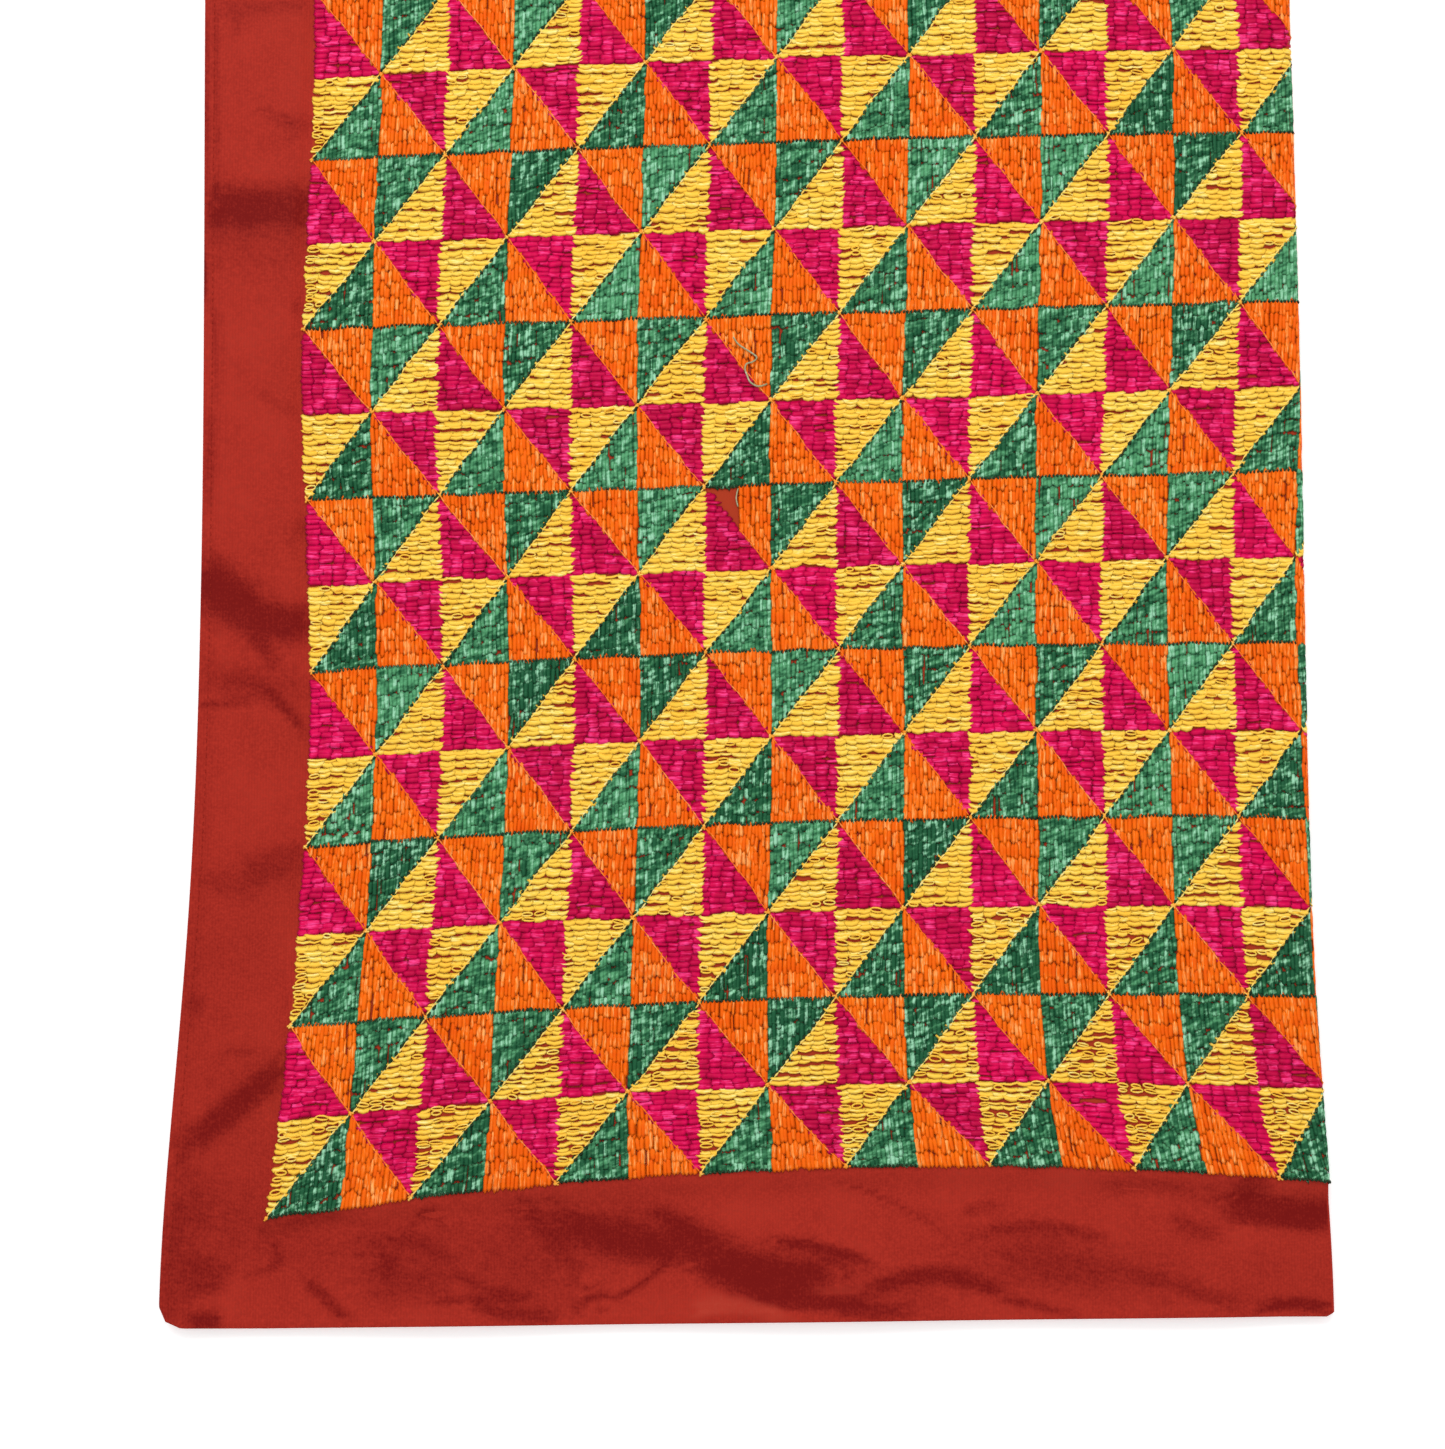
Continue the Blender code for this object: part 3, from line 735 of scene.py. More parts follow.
# %% [markdown]
# ## The chart of the pattern
#
# Each half-cell is cut in two by a diagonal, which rises where its column and row are both even or both odd.
# So every triangle of floss has a right angle in one corner of its half-cell. Yellow and magenta run across,
# from the upright side of their triangle, and orange and green run along, from its level side.

# %% The triangles of each colour
CORNERS = {"upper_left": (0, 1, 1, -1), "lower_right": (1, 0, -1, 1),
           "lower_left": (0, 0, 1, 1), "upper_right": (1, 1, -1, -1)}
CHART = {"yellow": ((0, 0, "upper_left"), (1, 1, "lower_right")),
         "green": ((0, 0, "lower_right"), (1, 1, "upper_left")),
         "orange": ((1, 0, "lower_left"), (0, 1, "upper_right")),
         "magenta": ((1, 0, "upper_right"), (0, 1, "lower_left"))}


def triangles(colour):
    """Rows (corner u, corner v, du, dv, i, j) for one colour: every cell of
    the top, one past each fold, and the fold of the lower leaf."""
    i, j = (k.ravel() for k in np.meshgrid(np.arange(COLUMNS + 1), np.arange(2 * ROWS)))
    near = (j <= ROWS) | (i >= COLUMNS - 1)
    out = []
    for odd_i, odd_j, name in CHART[colour]:
        cu, cv, du, dv = CORNERS[name]
        here = near & (i % 2 == odd_i) & (j % 2 == odd_j)
        ones = np.ones(here.sum())
        out.append(np.stack([i[here] + cu, j[here] + cv, du * ones, dv * ones, i[here], j[here]], axis=1))
    return np.concatenate(out)


print("triangles:", {c: len(triangles(c)) for c in CHART})

# %% [markdown]
# ## One stitch
#
# A stitch of floss is a soft strand that comes up through the cloth, swells and goes down again. Seen from
# above it is a small leaf. Eight or eleven points are enough for one, because there are so many of them.
# All are made at once: the stitch's own profile is one axis of an array, and the stitches are the other.

# %% Strands from arrays
FOOTING = 0.00022     # how far the floss stands clear of the ground cloth


def strand_faces(count, rings, start=0):
    """Triangles and quads of count strands, each a tip, rings of three
    points, and a tip."""
    step = 3 * rings + 2
    last = step - 1
    tri = [(0, 1, 2), (0, 2, 3), (0, 3, 1)]
    end_ring = 3 * rings - 2
    tri += [(last, end_ring + 1, end_ring), (last, end_ring + 2, end_ring + 1),
            (last, end_ring, end_ring + 2)]
    quad = []
    for k in range(rings - 1):
        a, b = 1 + 3 * k, 4 + 3 * k
        quad += [(a, b, b + 1, a + 1), (a + 1, b + 1, b + 2, a + 2), (a + 2, b + 2, b, a)]
    base = start + step * np.arange(count)[:, None, None]
    out = [(np.array(tri) + base).reshape(-1, 3)]
    return out + ([(np.array(quad) + base).reshape(-1, 4)] if quad else [])


def strand_points(u, v, run, across, bow, high, shape):
    """Points of strands centred on (u, v), one for each row (a, c, h, tone)
    of the shape: (u, v) + a run + c across - (1 - a^2) bow, at the height
    FOOTING + h high. Also a and the tone, which the material reads."""
    a, c, h, tone = shape.T
    uu = u[:, None] + a * run[0][:, None] + c * across[0][:, None] - (1 - a * a) * bow[0][:, None]
    vv = v[:, None] + a * run[1][:, None] + c * across[1][:, None] - (1 - a * a) * bow[1][:, None]
    return uu, vv, FOOTING + h * high[:, None], np.broadcast_to(a, uu.shape), np.broadcast_to(tone, uu.shape)


def both_ends(half, middle=()):
    """A whole stitch from its first tip and ring, mirrored along its run,
    with a middle ring between if there is one."""
    half = np.array(half)
    return np.concatenate([half, np.reshape(middle, (-1, 4)), half[[1, 2, 3, 0]] * (-1, 1, 1, 1)])


# A point's tone is painted light: 0 gives the painted shade at a stitch's edges and seams, 1 the painted
# highlight on its crest.
# Columns: along, across, height, tone
SCALE = both_ends([(-1.00, 0.25, 0.80, 0.90), (-0.70, -0.80, 0.62, 0.00), (-0.62, 0.00, 0.95, 0.95),
                   (-0.80, 1.00, 0.42, 0.45)],
                  [(0.00, -1.00, 0.66, 0.00), (0.00, -0.10, 1.05, 1.00), (0.00, 1.00, 0.36, 0.45)])
LENS = both_ends([(-1.00, 0.00, 0.74, 0.25), (-0.62, -0.95, 0.66, 0.40), (-0.42, -0.05, 1.00, 1.00),
                  (-0.66, 0.95, 0.60, 0.35)])
STRAND = both_ends([(-1.00, 0.00, 0.74, 0.10), (-0.58, -1.00, 0.55, 0.20), (-0.48, 0.00, 1.00, 1.00),
                    (-0.58, 1.00, 0.55, 0.50)])
OVAL = both_ends([(-1.00, 0.00, 0.60, 0.00), (-0.72, -1.00, 0.50, 0.34), (-0.52, 0.00, 1.00, 1.00),
                  (-0.72, 1.00, 0.50, 0.34)])

# %% [markdown]
# ## Fill a triangle with floss
#
# The darner counts the threads of the ground cloth, so the stitches lie in rows, and the seams of a row are
# almost level with the next row's: they go a little up and down in turns of three rows. Yellow rows lie in
# pairs. Then the hand comes in: seams, widths and heights all vary, and here and there a stitch is so thin or
# so short that the cloth shows beside it.

# %% Rows and seams
OVERRUN = 0.012         # how far a row runs over the line at its ends, in half-cells


def fill(colour, rows_n, length, lean, cycle, pair, spread, drift, slits, slim, shift, gaps):
    """Arrays of stitches: middle (u, v), half its run, and its tilt.
    In row k at t = (k + 0.5 +- pair) / rows_n the seams lie at (m + phase)
    length, with phase = lean k + cycle[k mod 3] + noise, clipped to the
    row's reach 1 - t and to OVERRUN past both its ends. A seam that falls
    close to either end moves to that end. Each seam also drifts off its row, and takes the stitch on either
    side along. At a slit the stitch is slim and shifted, most of all where
    a row of yellow or magenta starts, and at a gap it is a fifth too short."""
    cells = triangles(colour)
    cu, cv, du, dv, ci, cj = (c[:, None, None] for c in cells.T)
    k = np.arange(rows_n)[None, :, None]
    t = (k + 0.5 + pair * (-1.0) ** k) / rows_n
    reach = 1 - t + OVERRUN
    m = np.arange(int(1 / length) + 3)[None, None, :]
    shape = (len(cells), rows_n, m.size)
    loose = rng.normal(0, spread, (len(cells), rows_n, 1)) + rng.random((len(cells), 1, 1)) * 0.3
    phase = -((lean * k + np.array(cycle)[k % 3] + loose) % 1.0)
    seams = (m + phase + rng.normal(0, 0.08, shape)) * length
    seams = np.where(seams < 0.4 * length, -OVERRUN, seams)
    seams = np.where(seams > reach - 0.4 * length, reach, seams)
    off = rng.normal(0, drift, shape) / rows_n
    a0, a1, off0, off1 = seams[..., :-1], seams[..., 1:], off[..., :-1], off[..., 1:]
    across = colour in ("yellow", "magenta")
    slit = rng.random(a0.shape) < slits * np.where(across & (a0 < 0.5 * length), 2.5, 1.0)
    slit[..., 1:] |= slit[..., :-1] & (rng.random(slit[..., 1:].shape) < 0.6)
    keep = a1 - a0 > 0.15 * length
    middle, half = (a0 + a1) / 2, (a1 - a0) / 2
    half = half * np.where(rng.random(half.shape) < gaps, 0.80, 1.0)
    t = t + (off0 + off1) / 2 + slit * shift / rows_n * (dv if across else 1.0)
    if across:
        u, v = cu + du * middle, cv + dv * t
    else:
        u, v = cu + du * t, cv + dv * middle
    width = rng.normal(1.0, 0.10, u.shape) * np.where(slit, slim, 1.0)
    whole = dict(u=u, v=v, half=half, tilt=du * dv * (off1 - off0) / 2, slim=width, i=ci, j=cj,
                 patch=rng.random((len(cells), 1, 1)))
    return {name: np.broadcast_to(a, keep.shape)[keep] for name, a in whole.items()}


def wobble(u, v):
    """Nudges pattern points by up to 0.7 mm, the same for neighbours."""
    x, y = u * CELL_W, v * CELL_H
    return u + 0.0006 * lattice(x, y, 0.008, 40) / CELL_W, v + 0.0007 * lattice(x, y, 0.011, 41) / CELL_H


def shows(u, v):
    """True where a stitch is on top or on the outside of a fold."""
    phi, psi = turns_at(u, v)
    on_top = (psi < 2.7) & (phi < 2.7)
    on_lower_fold = (psi >= 2.7) & (phi > 0.35) & (phi < 2.7)
    return on_top | on_lower_fold


def stitch_mesh(parts):
    """Joins parts (points, faces, values) into one list of each."""
    points, faces, values, start = [], [], [], 0
    for p, f, w in parts:
        points.append(p)
        faces += [a + start for a in f]
        values.append(w)
        start += len(p)
    return np.concatenate(points), faces, np.concatenate(values)


def stitches_of(s, level, width, high, sag, overlap, shape):
    """Strands for the stitches s, whose runs lie along u if level."""
    n = len(s["u"])
    u, v = wobble(s["u"], s["v"])
    zero = np.zeros(n)
    wide = width * s["slim"] / 2
    top = high * rng.normal(1.0, 0.12, n)
    half = s["half"] * overlap * rng.normal(1.0, 0.06, n)
    if level:
        run, across = (half, s["tilt"]), (zero, wide / CELL_H)
        bow = (zero, sag * rng.normal(1.0, 0.30, n) / CELL_H)
    else:
        run, across = (s["tilt"], half), (-wide / CELL_W, zero)
        bow = (sag * rng.normal(0.0, 1.0, n) / CELL_W, zero)
    uu, vv, h, a, tone = strand_points(u, v, run, across, bow, top, shape)
    value = np.stack([np.broadcast_to(rng.random((n, 1)), uu.shape), (a + 1) / 2, tone,
                      np.broadcast_to(s["patch"][:, None], uu.shape)], axis=-1)
    return spot(uu, vv, h).reshape(-1, 3), strand_faces(n, (len(shape) - 2) // 3), value.reshape(-1, 4)


def loops_of(s, width, high):
    """Open loops of thread: an ellipse as long as its stitch and width wide,
    nine stations round, with a three-cornered section."""
    n, stations = len(s["u"]), 9
    u, v = wobble(s["u"], s["v"])
    angle = 2 * math.pi * np.arange(stations) / stations
    thread = 0.00105
    long_half = np.minimum(s["half"] * CELL_W * 1.08, 0.0031) * rng.normal(1.0, 0.08, n)
    wide_half = width / 2 * rng.normal(1.02, 0.10, n)
    grow = np.array([0.10, -0.42, -1.0]) * thread
    high_at = np.array([0.25, 1.0, 0.30])
    # The thread's top is painted lit and its two edges a little darker, as painted shade.
    tone_at = np.array([0.70, 1.0, 0.60])
    turn = rng.normal(0, 0.13, n)[:, None, None]
    c, s_ = np.cos(angle)[None, :, None], np.sin(angle)[None, :, None]
    px, py = (long_half[:, None, None] + grow) * c, (wide_half[:, None, None] + grow) * s_
    uu = u[:, None, None] + (px * np.cos(turn) - py * np.sin(turn)) / CELL_W
    vv = v[:, None, None] + (px * np.sin(turn) + py * np.cos(turn)) / CELL_H
    top = high * rng.normal(1.0, 0.12, (n, 1, 1)) * (0.85 + 0.25 * np.abs(s_))
    h = FOOTING + high_at * top + 0 * c
    base = (np.arange(n) * 3 * stations)[:, None]
    quads = []
    for k in range(stations):
        a, b = 3 * k, 3 * ((k + 1) % stations)
        quads += [(a, b, b + 1, a + 1), (a + 1, b + 1, b + 2, a + 2), (a + 2, b + 2, b, a)]
    quads = (np.array(quads)[None] + base[:, :, None]).reshape(-1, 4)
    value = np.stack(np.broadcast_arrays(rng.random((n, 1, 1)), 0.5 + 0 * uu, tone_at + 0 * uu,
                                         s["patch"][:, None, None]), axis=-1)
    return spot(uu, vv, h).reshape(-1, 3), [quads], value.reshape(-1, 4)


def take(s, mask):
    return {k: a[mask] for k, a in s.items()}


# %% [markdown]
# ## The four colours of floss
#
# Yellow lies in fat level stitches that sag, with rings of loose thread among them, most of all at the near
# end. Magenta is finer, with its seams in columns. Orange stands upright, and its seams step up and down by a
# sixth of a stitch. Green is upright too, and its seams climb a little to the right. Yellow is made as a near
# and a far piece, as it has the most faces.

# %% Sizes of the stitches, in half-cells and metres
FILLS = {
    "yellow": dict(rows_n=17, length=0.180, lean=0.0, cycle=(0, 0, 0), pair=0.09, spread=0.13, drift=0.17,
                   slits=0.05, slim=0.5, shift=0.16, gaps=0.0),
    "magenta": dict(rows_n=17, length=0.180, lean=0.0, cycle=(0, 0, 0), pair=0.04, spread=0.10, drift=0.16,
                    slits=0.04, slim=0.5, shift=0.10, gaps=0.04),
    "orange": dict(rows_n=17, length=0.166, lean=0.0, cycle=(0, 0.15, -0.17), pair=0.0, spread=0.06,
                   drift=0.13, slits=0.01, slim=0.5, shift=0.2, gaps=0.05),
    "green": dict(rows_n=17, length=0.165, lean=0.03, cycle=(0, 0.08, -0.10), pair=0.0, spread=0.05,
                  drift=0.12, slits=0.035, slim=0.60, shift=0.10, gaps=0.28),
}
LOOKS = {
    "yellow": dict(level=True, width=0.00318, high=0.00062, sag=0.00064, overlap=1.34, shape=SCALE),
    "magenta": dict(level=True, width=0.00365, high=0.00050, sag=0.00040, overlap=1.34, shape=LENS),
    "orange": dict(level=False, width=0.00265, high=0.00056, sag=0.00022, overlap=1.32, shape=STRAND),
    "green": dict(level=False, width=0.00255, high=0.00060, sag=0.00022, overlap=1.24, shape=OVAL),
}
BARE = dict(i=6, j=7, u=6.52)     # the half-cell where the orange has come out
LOOP = dict(width=0.0026, high=0.00095)
NEAR_ROWS = 12                    # rows of half-cells in the near piece of yellow


def floss(colour):
    """All stitches of one colour, as (stitches, loops)."""
    s = fill(colour, **FILLS[colour])
    s = take(s, shows(s["u"], s["v"]))
    if colour == "orange":
        s = take(s, ~((s["i"] == BARE["i"]) & (s["j"] == BARE["j"]) & (s["u"] < BARE["u"])))
    if colour == "green":
        s["patch"] = s["patch"] * (1 - 0.55 * np.exp(-(s["v"] / 4.0) ** 2))
    chance = np.zeros(len(s["u"]))
    if colour == "yellow":
        v = s["v"]
        s["slim"] = s["slim"] * (1 - 0.22 * np.exp(-(v / 3.0) ** 2))
        chance = 0.04 + 0.20 * np.exp(-(v / 3.0) ** 2) + 0.50 * np.exp(-(s["u"] / 0.17) ** 2) * (v < ROWS)
        chance = chance * (0.4 + 1.2 * (lattice(s["u"] * CELL_W, v * CELL_H, 0.02, 44) > -0.1))
    loop = (rng.random(len(chance)) < chance) & (s["half"] * CELL_W > 0.0019)
    return take(s, ~loop), take(s, loop)


flosses = {}
for colour in CHART:
    plain, loops = floss(colour)
    print(colour, "stitches:", len(plain["u"]), "loops:", len(loops["u"]))
    halves = {"": np.ones(len(plain["v"]), bool)}
    if colour == "yellow":
        halves = {"_near": plain["v"] < NEAR_ROWS, "_far": plain["v"] >= NEAR_ROWS}
    for half, mask in halves.items():
        parts = [stitches_of(take(plain, mask), **LOOKS[colour])]
        if colour == "yellow":
            near = (loops["v"] < NEAR_ROWS) == (half == "_near")
            parts.append(loops_of(take(loops, near), **LOOP))
        points, faces, value = stitch_mesh(parts)
        name = f"floss_{colour}{half}"
        flosses[name] = piece(name, points, faces, {"floss": value})
        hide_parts("floss_embroidery")

# %% [markdown]
# ## Outlines
#
# The darner first drew the pattern with a single thread: green along each level line where orange and green
# meet and along the rising diagonals, and orange along the falling ones. The green shows as a row of dots,
# because it goes in and out of the cloth. Beside it a yellow thread ends the rows of yellow.

# %% Threads along the pattern's lines
def beaded(u0, v0, u1, v1, beads, width, high, thin=0.45, aside=0.0):
    """Strands from (u0, v0) to (u1, v1), thick and thin by turns, and moved
    aside by so many metres to the left of their run."""
    n = len(u0)
    rings = 2 * beads - 1
    along = np.linspace(-1, 1, rings + 2)
    thick = np.where(np.arange(rings + 2) % 2 == 1, 1.0, thin)
    ring = [(a, c * t, t if c == 0 else 0.55 * t, t)
            for a, t in zip(along[1:-1], thick[1:-1]) for c in (-1, 0, 1)]
    shape = np.array([(-1, 0, 0.4, 0.4), *ring, (1, 0, 0.4, 0.4)])
    du, dv = (u1 - u0) / 2, (v1 - v0) / 2
    length = np.hypot(du * CELL_W, dv * CELL_H)
    left = (-dv * CELL_H / length / CELL_W, du * CELL_W / length / CELL_H)
    across = (left[0] * width / 2, left[1] * width / 2)
    u, v = (u0 + u1) / 2 + left[0] * aside, (v0 + v1) / 2 + left[1] * aside
    zero = np.zeros(n)
    uu, vv, h, a, tone = strand_points(u, v, (du, dv), across, (zero, zero), np.full(n, high), shape)
    uu, vv = wobble(uu, vv)
    value = np.stack(np.broadcast_arrays(rng.random((n, 1)), (a + 1) / 2, tone, rng.random((n, 1))), axis=-1)
    return spot(uu, vv, h).reshape(-1, 3), strand_faces(n, rings), value.reshape(-1, 4)


gi, gj = (k.ravel().astype(float) for k in np.meshgrid(np.arange(COLUMNS), np.arange(ROWS)))
rising = (gi + gj) % 2 == 0
falling = ~rising & ~((gi == BARE["i"]) & (gj == BARE["j"]))
yellow_is_left = np.where(gi[rising] % 2 == 0, 1.0, -1.0)
up = (gi[rising], gj[rising], gi[rising] + 1, gj[rising] + 1)
green_line = beaded(*up, 14, 0.0017, 0.00105, thin=0.3, aside=-0.00055 * yellow_is_left)
yellow_line = beaded(*up, 13, 0.0011, 0.00105, thin=0.35, aside=0.00030 * yellow_is_left)
down = (gi[falling], gj[falling] + 1, gi[falling] + 1, gj[falling])
down = [np.append(a, b) for a, b in zip(down, (6.52, 7.48, 7.0, 7.0))]
orange_line = beaded(*down, 11, 0.0009, 0.00105, thin=0.5)
li, lj = (k.ravel().astype(float) for k in np.meshgrid(np.arange(COLUMNS), np.arange(0, ROWS + 1, 2)))
on_line = (lj > 0) | (li % 2 == 0)
li, lj = li[on_line], lj[on_line]
level_line = beaded(li, lj, li + 1, lj, 17, 0.0019, 0.00115, thin=0.20)
points, faces, value = stitch_mesh([green_line, level_line])
outline_green = piece("outline_green", points, faces, {"floss": value})
outline_yellow = piece("outline_yellow", yellow_line[0], yellow_line[1], {"floss": yellow_line[2]})
outline_orange = piece("outline_orange", orange_line[0], orange_line[1], {"floss": orange_line[2]})

# %% [markdown]
# ## Knots where the lines meet
#
# Eight triangles meet at every second corner, and the thread ends are caught there in a small star.

# %% Star knots
def stars():
    """Four short strands across each meeting point, turned by 45 degrees."""
    i, j = (k.ravel().astype(float) for k in np.meshgrid(np.arange(COLUMNS + 1), np.arange(ROWS + 1)))
    here = ((i + j) % 2 == 0) & (i < COLUMNS) & (j < ROWS)
    i, j = np.repeat(i[here], 4), np.repeat(j[here], 4)
    n = len(i)
    turn = np.tile([0.0, 0.9, 1.6, 2.3], n // 4) + rng.normal(0, 0.2, n)
    half = rng.uniform(0.0008, 0.0017, n)
    run = (np.cos(turn) * half / CELL_W, np.sin(turn) * half / CELL_H)
    across = (-np.sin(turn) * 0.00055 / CELL_W, np.cos(turn) * 0.00055 / CELL_H)
    zero = np.zeros(n)
    u, v = wobble(i + rng.normal(0, 0.010, n), j + rng.normal(0, 0.008, n))
    uu, vv, h, a, tone = strand_points(u, v, run, across, (zero, zero), rng.uniform(0.0009, 0.0012, n), OVAL)
    value = np.stack(np.broadcast_arrays(rng.random((n, 1)), (a + 1) / 2, tone, rng.random((n, 1))), axis=-1)
    return spot(uu, vv, h).reshape(-1, 3), strand_faces(n, 2), value.reshape(-1, 4)


points, faces, value = stars()
star_knots = piece("star_knots", points, faces, {"floss": value})

# %% [markdown]
# ## Hem stitches
#
# The open side is turned under once and sewn with a running stitch in the cloth's own colour, so it shows only
# as a faint dotted line. The near end has a plain turned edge.

# %% Running stitches
def hem_stitches():
    """Short strands every 3.4 mm, 4.4 mm in from the open side."""
    v = np.linspace(-BORDER_V + 0.2, ROWS - 0.3, 340)
    n = len(v)
    x, y = plan(np.full(n, -BORDER_U * (1 - 0.0044 / SIDE_BORDER)), v)
    along = np.array([-1, -0.5, -0.5, -0.5, 0.5, 0.5, 0.5, 1]) * 0.0011
    side = np.array([0, -1, 0, 1, -1, 0, 1, 0]) * 0.00018
    up = np.array([0.1, 0.1, 1, 0.1, 0.1, 1, 0.1, 0.1]) * 0.00010
    px = x[:, None] - side
    py = y[:, None] + along
    base = BORDER_STACK + lift(x, y) + creases(x, y)[0] + 0.00010 * lattice(x, y, 0.011, 8) + 0.00020
    pz = base[:, None] + up
    value = np.stack(np.broadcast_arrays(rng.random((n, 1)), 0.5, up / up.max(), 0 * px), axis=-1)
    return np.stack([px, py, pz], axis=-1).reshape(-1, 3), strand_faces(n, 2), value.reshape(-1, 4)


points, faces, value = hem_stitches()
hem = piece("hem_stitches", points, faces, {"floss": value})

# %% [markdown]
# ## Loose threads
#
# Wear has pulled one green thread up in a loop and left a torn end beside the bare patch. Each is a thin tube
# carried along a short path that lies on the floss.

# %% Loose threads
def thread(path, radius, sides=5):
    """A tube round a path (n, 3): ring k is path_k + radius (cos a side_k +
    sin a up), closed by a point at each end."""
    path = np.asarray(path, float)
    heading = np.gradient(path, axis=0)
    heading /= np.linalg.norm(heading, axis=1, keepdims=True)
    side = np.cross(heading, [0, 0, 1.0])
    side /= np.linalg.norm(side, axis=1, keepdims=True)
    up = np.cross(side, heading)
    a = 2 * math.pi * np.arange(sides) / sides
    c, s = np.cos(a)[None, :, None], np.sin(a)[None, :, None]
    ring = path[:, None] + radius * (c * side[:, None] + s * up[:, None])
    n = len(path)
    k = np.arange(n * sides).reshape(n, sides)
    quads = np.stack([k[:-1], np.roll(k, -1, 1)[:-1], np.roll(k, -1, 1)[1:], k[1:]], axis=-1).reshape(-1, 4)
    head, tail = n * sides, n * sides + 1
    tri = np.concatenate([np.stack([np.full(sides, head), np.roll(k[0], -1), k[0]], axis=-1),
                          np.stack([np.full(sides, tail), k[-1], np.roll(k[-1], -1)], axis=-1)])
    points = np.concatenate([ring.reshape(-1, 3), path[:1], path[-1:]])
    value = np.broadcast_to([0.5, 0.5, 0.9, 0.6], (len(points), 4))
    return points, [quads, tri], value


def curve_through(points, count=28):
    """A smooth path through points: a Catmull-Rom spline in (u, v, mm)."""
    p = np.asarray(points, float)
    p = np.concatenate([p[:1] * 2 - p[1:2], p, p[-1:] * 2 - p[-2:-1]])
    s = np.linspace(0, len(p) - 3 - 1e-9, count)
    k = s.astype(int)
    f = (s - k)[:, None]
    a, b, c, d = p[k], p[k + 1], p[k + 2], p[k + 3]
    q = 0.5 * (2 * b + (c - a) * f + (2 * a - 5 * b + 4 * c - d) * f ** 2 + (3 * b - a - 3 * c + d) * f ** 3)
    return spot(q[:, 0], q[:, 1], q[:, 2] / 1000)


PULLED = [(6.43, 9.76, 0.7), (6.50, 9.68, 1.1), (6.60, 9.62, 1.4), (6.70, 9.57, 1.5), (6.79, 9.51, 1.6),
          (6.73, 9.46, 1.5), (6.64, 9.44, 1.5), (6.615, 9.38, 1.6), (6.65, 9.30, 1.6), (6.69, 9.23, 1.5),
          (6.78, 9.18, 1.5), (6.86, 9.175, 1.4), (6.95, 9.20, 0.8)]
TORN = [(6.52, 7.97, 0.5), (6.50, 7.91, 0.9), (6.49, 7.84, 0.9), (6.515, 7.75, 0.6)]
parts = [thread(curve_through(PULLED, 40), 0.00042), thread(curve_through(TORN, 14), 0.00034)]
points, faces, value = stitch_mesh(parts)
loose_thread = piece("loose_thread", points, faces, {"floss": value})

# %% [markdown]
# ## The underside
#
# The bottom leaf lies with its floss on the floor, pressed flat. Nobody sees its stitches, but the part can be
# turned over, so a thin plate carries the same triangles, painted by the material from the pattern's (u, v).

# %% A flat plate of floss
def under_plate():
    """A closed plate from z = 0 to 0.7 mm over the field's underside."""
    u = np.concatenate([np.arange(0, COLUMNS), [COLUMNS - 0.02]])
    v = np.linspace(0, ROWS - 0.05, 29)
    u, v = np.meshgrid(u, v)
    x, y = plan(u, v)
    low = np.stack([x, y, 0 * x], axis=-1)
    high = low + [0, 0, FLOSS]
    n, m = u.shape
    k = np.arange(n * m).reshape(n, m)
    face = np.stack([k[:-1, :-1], k[1:, :-1], k[1:, 1:], k[:-1, 1:]], axis=-1).reshape(-1, 4)
    rim = np.concatenate([k[0, :-1], k[:-1, -1], k[-1, :0:-1], k[:0:-1, 0]])
    wall = np.stack([rim, np.roll(rim, -1), np.roll(rim, -1) + n * m, rim + n * m], axis=-1)
    points = np.concatenate([low.reshape(-1, 3), high.reshape(-1, 3)])
    value = np.stack([u, 2 * ROWS - v, 0 * u, 0 * u], axis=-1).reshape(-1, 4)
    return points, [face, face[:, ::-1] + n * m, wall], np.concatenate([value, value])


points, faces, value = under_plate()
under = piece("floss_underside", points, faces, {"pattern": value}, smooth_shaded=False)
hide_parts("floss_embroidery")

# %% [markdown]
# ## Rust silk
#
# The ground is a plain silky weave. Straight on it is a warm rust, and where a crease turns it away from the
# light it is painted a deep oxblood, as painted shade with soft mottled edges; where a crease catches the light
# it is painted brighter, as painted sheen. Up close it has a fine upright rib and a grain.

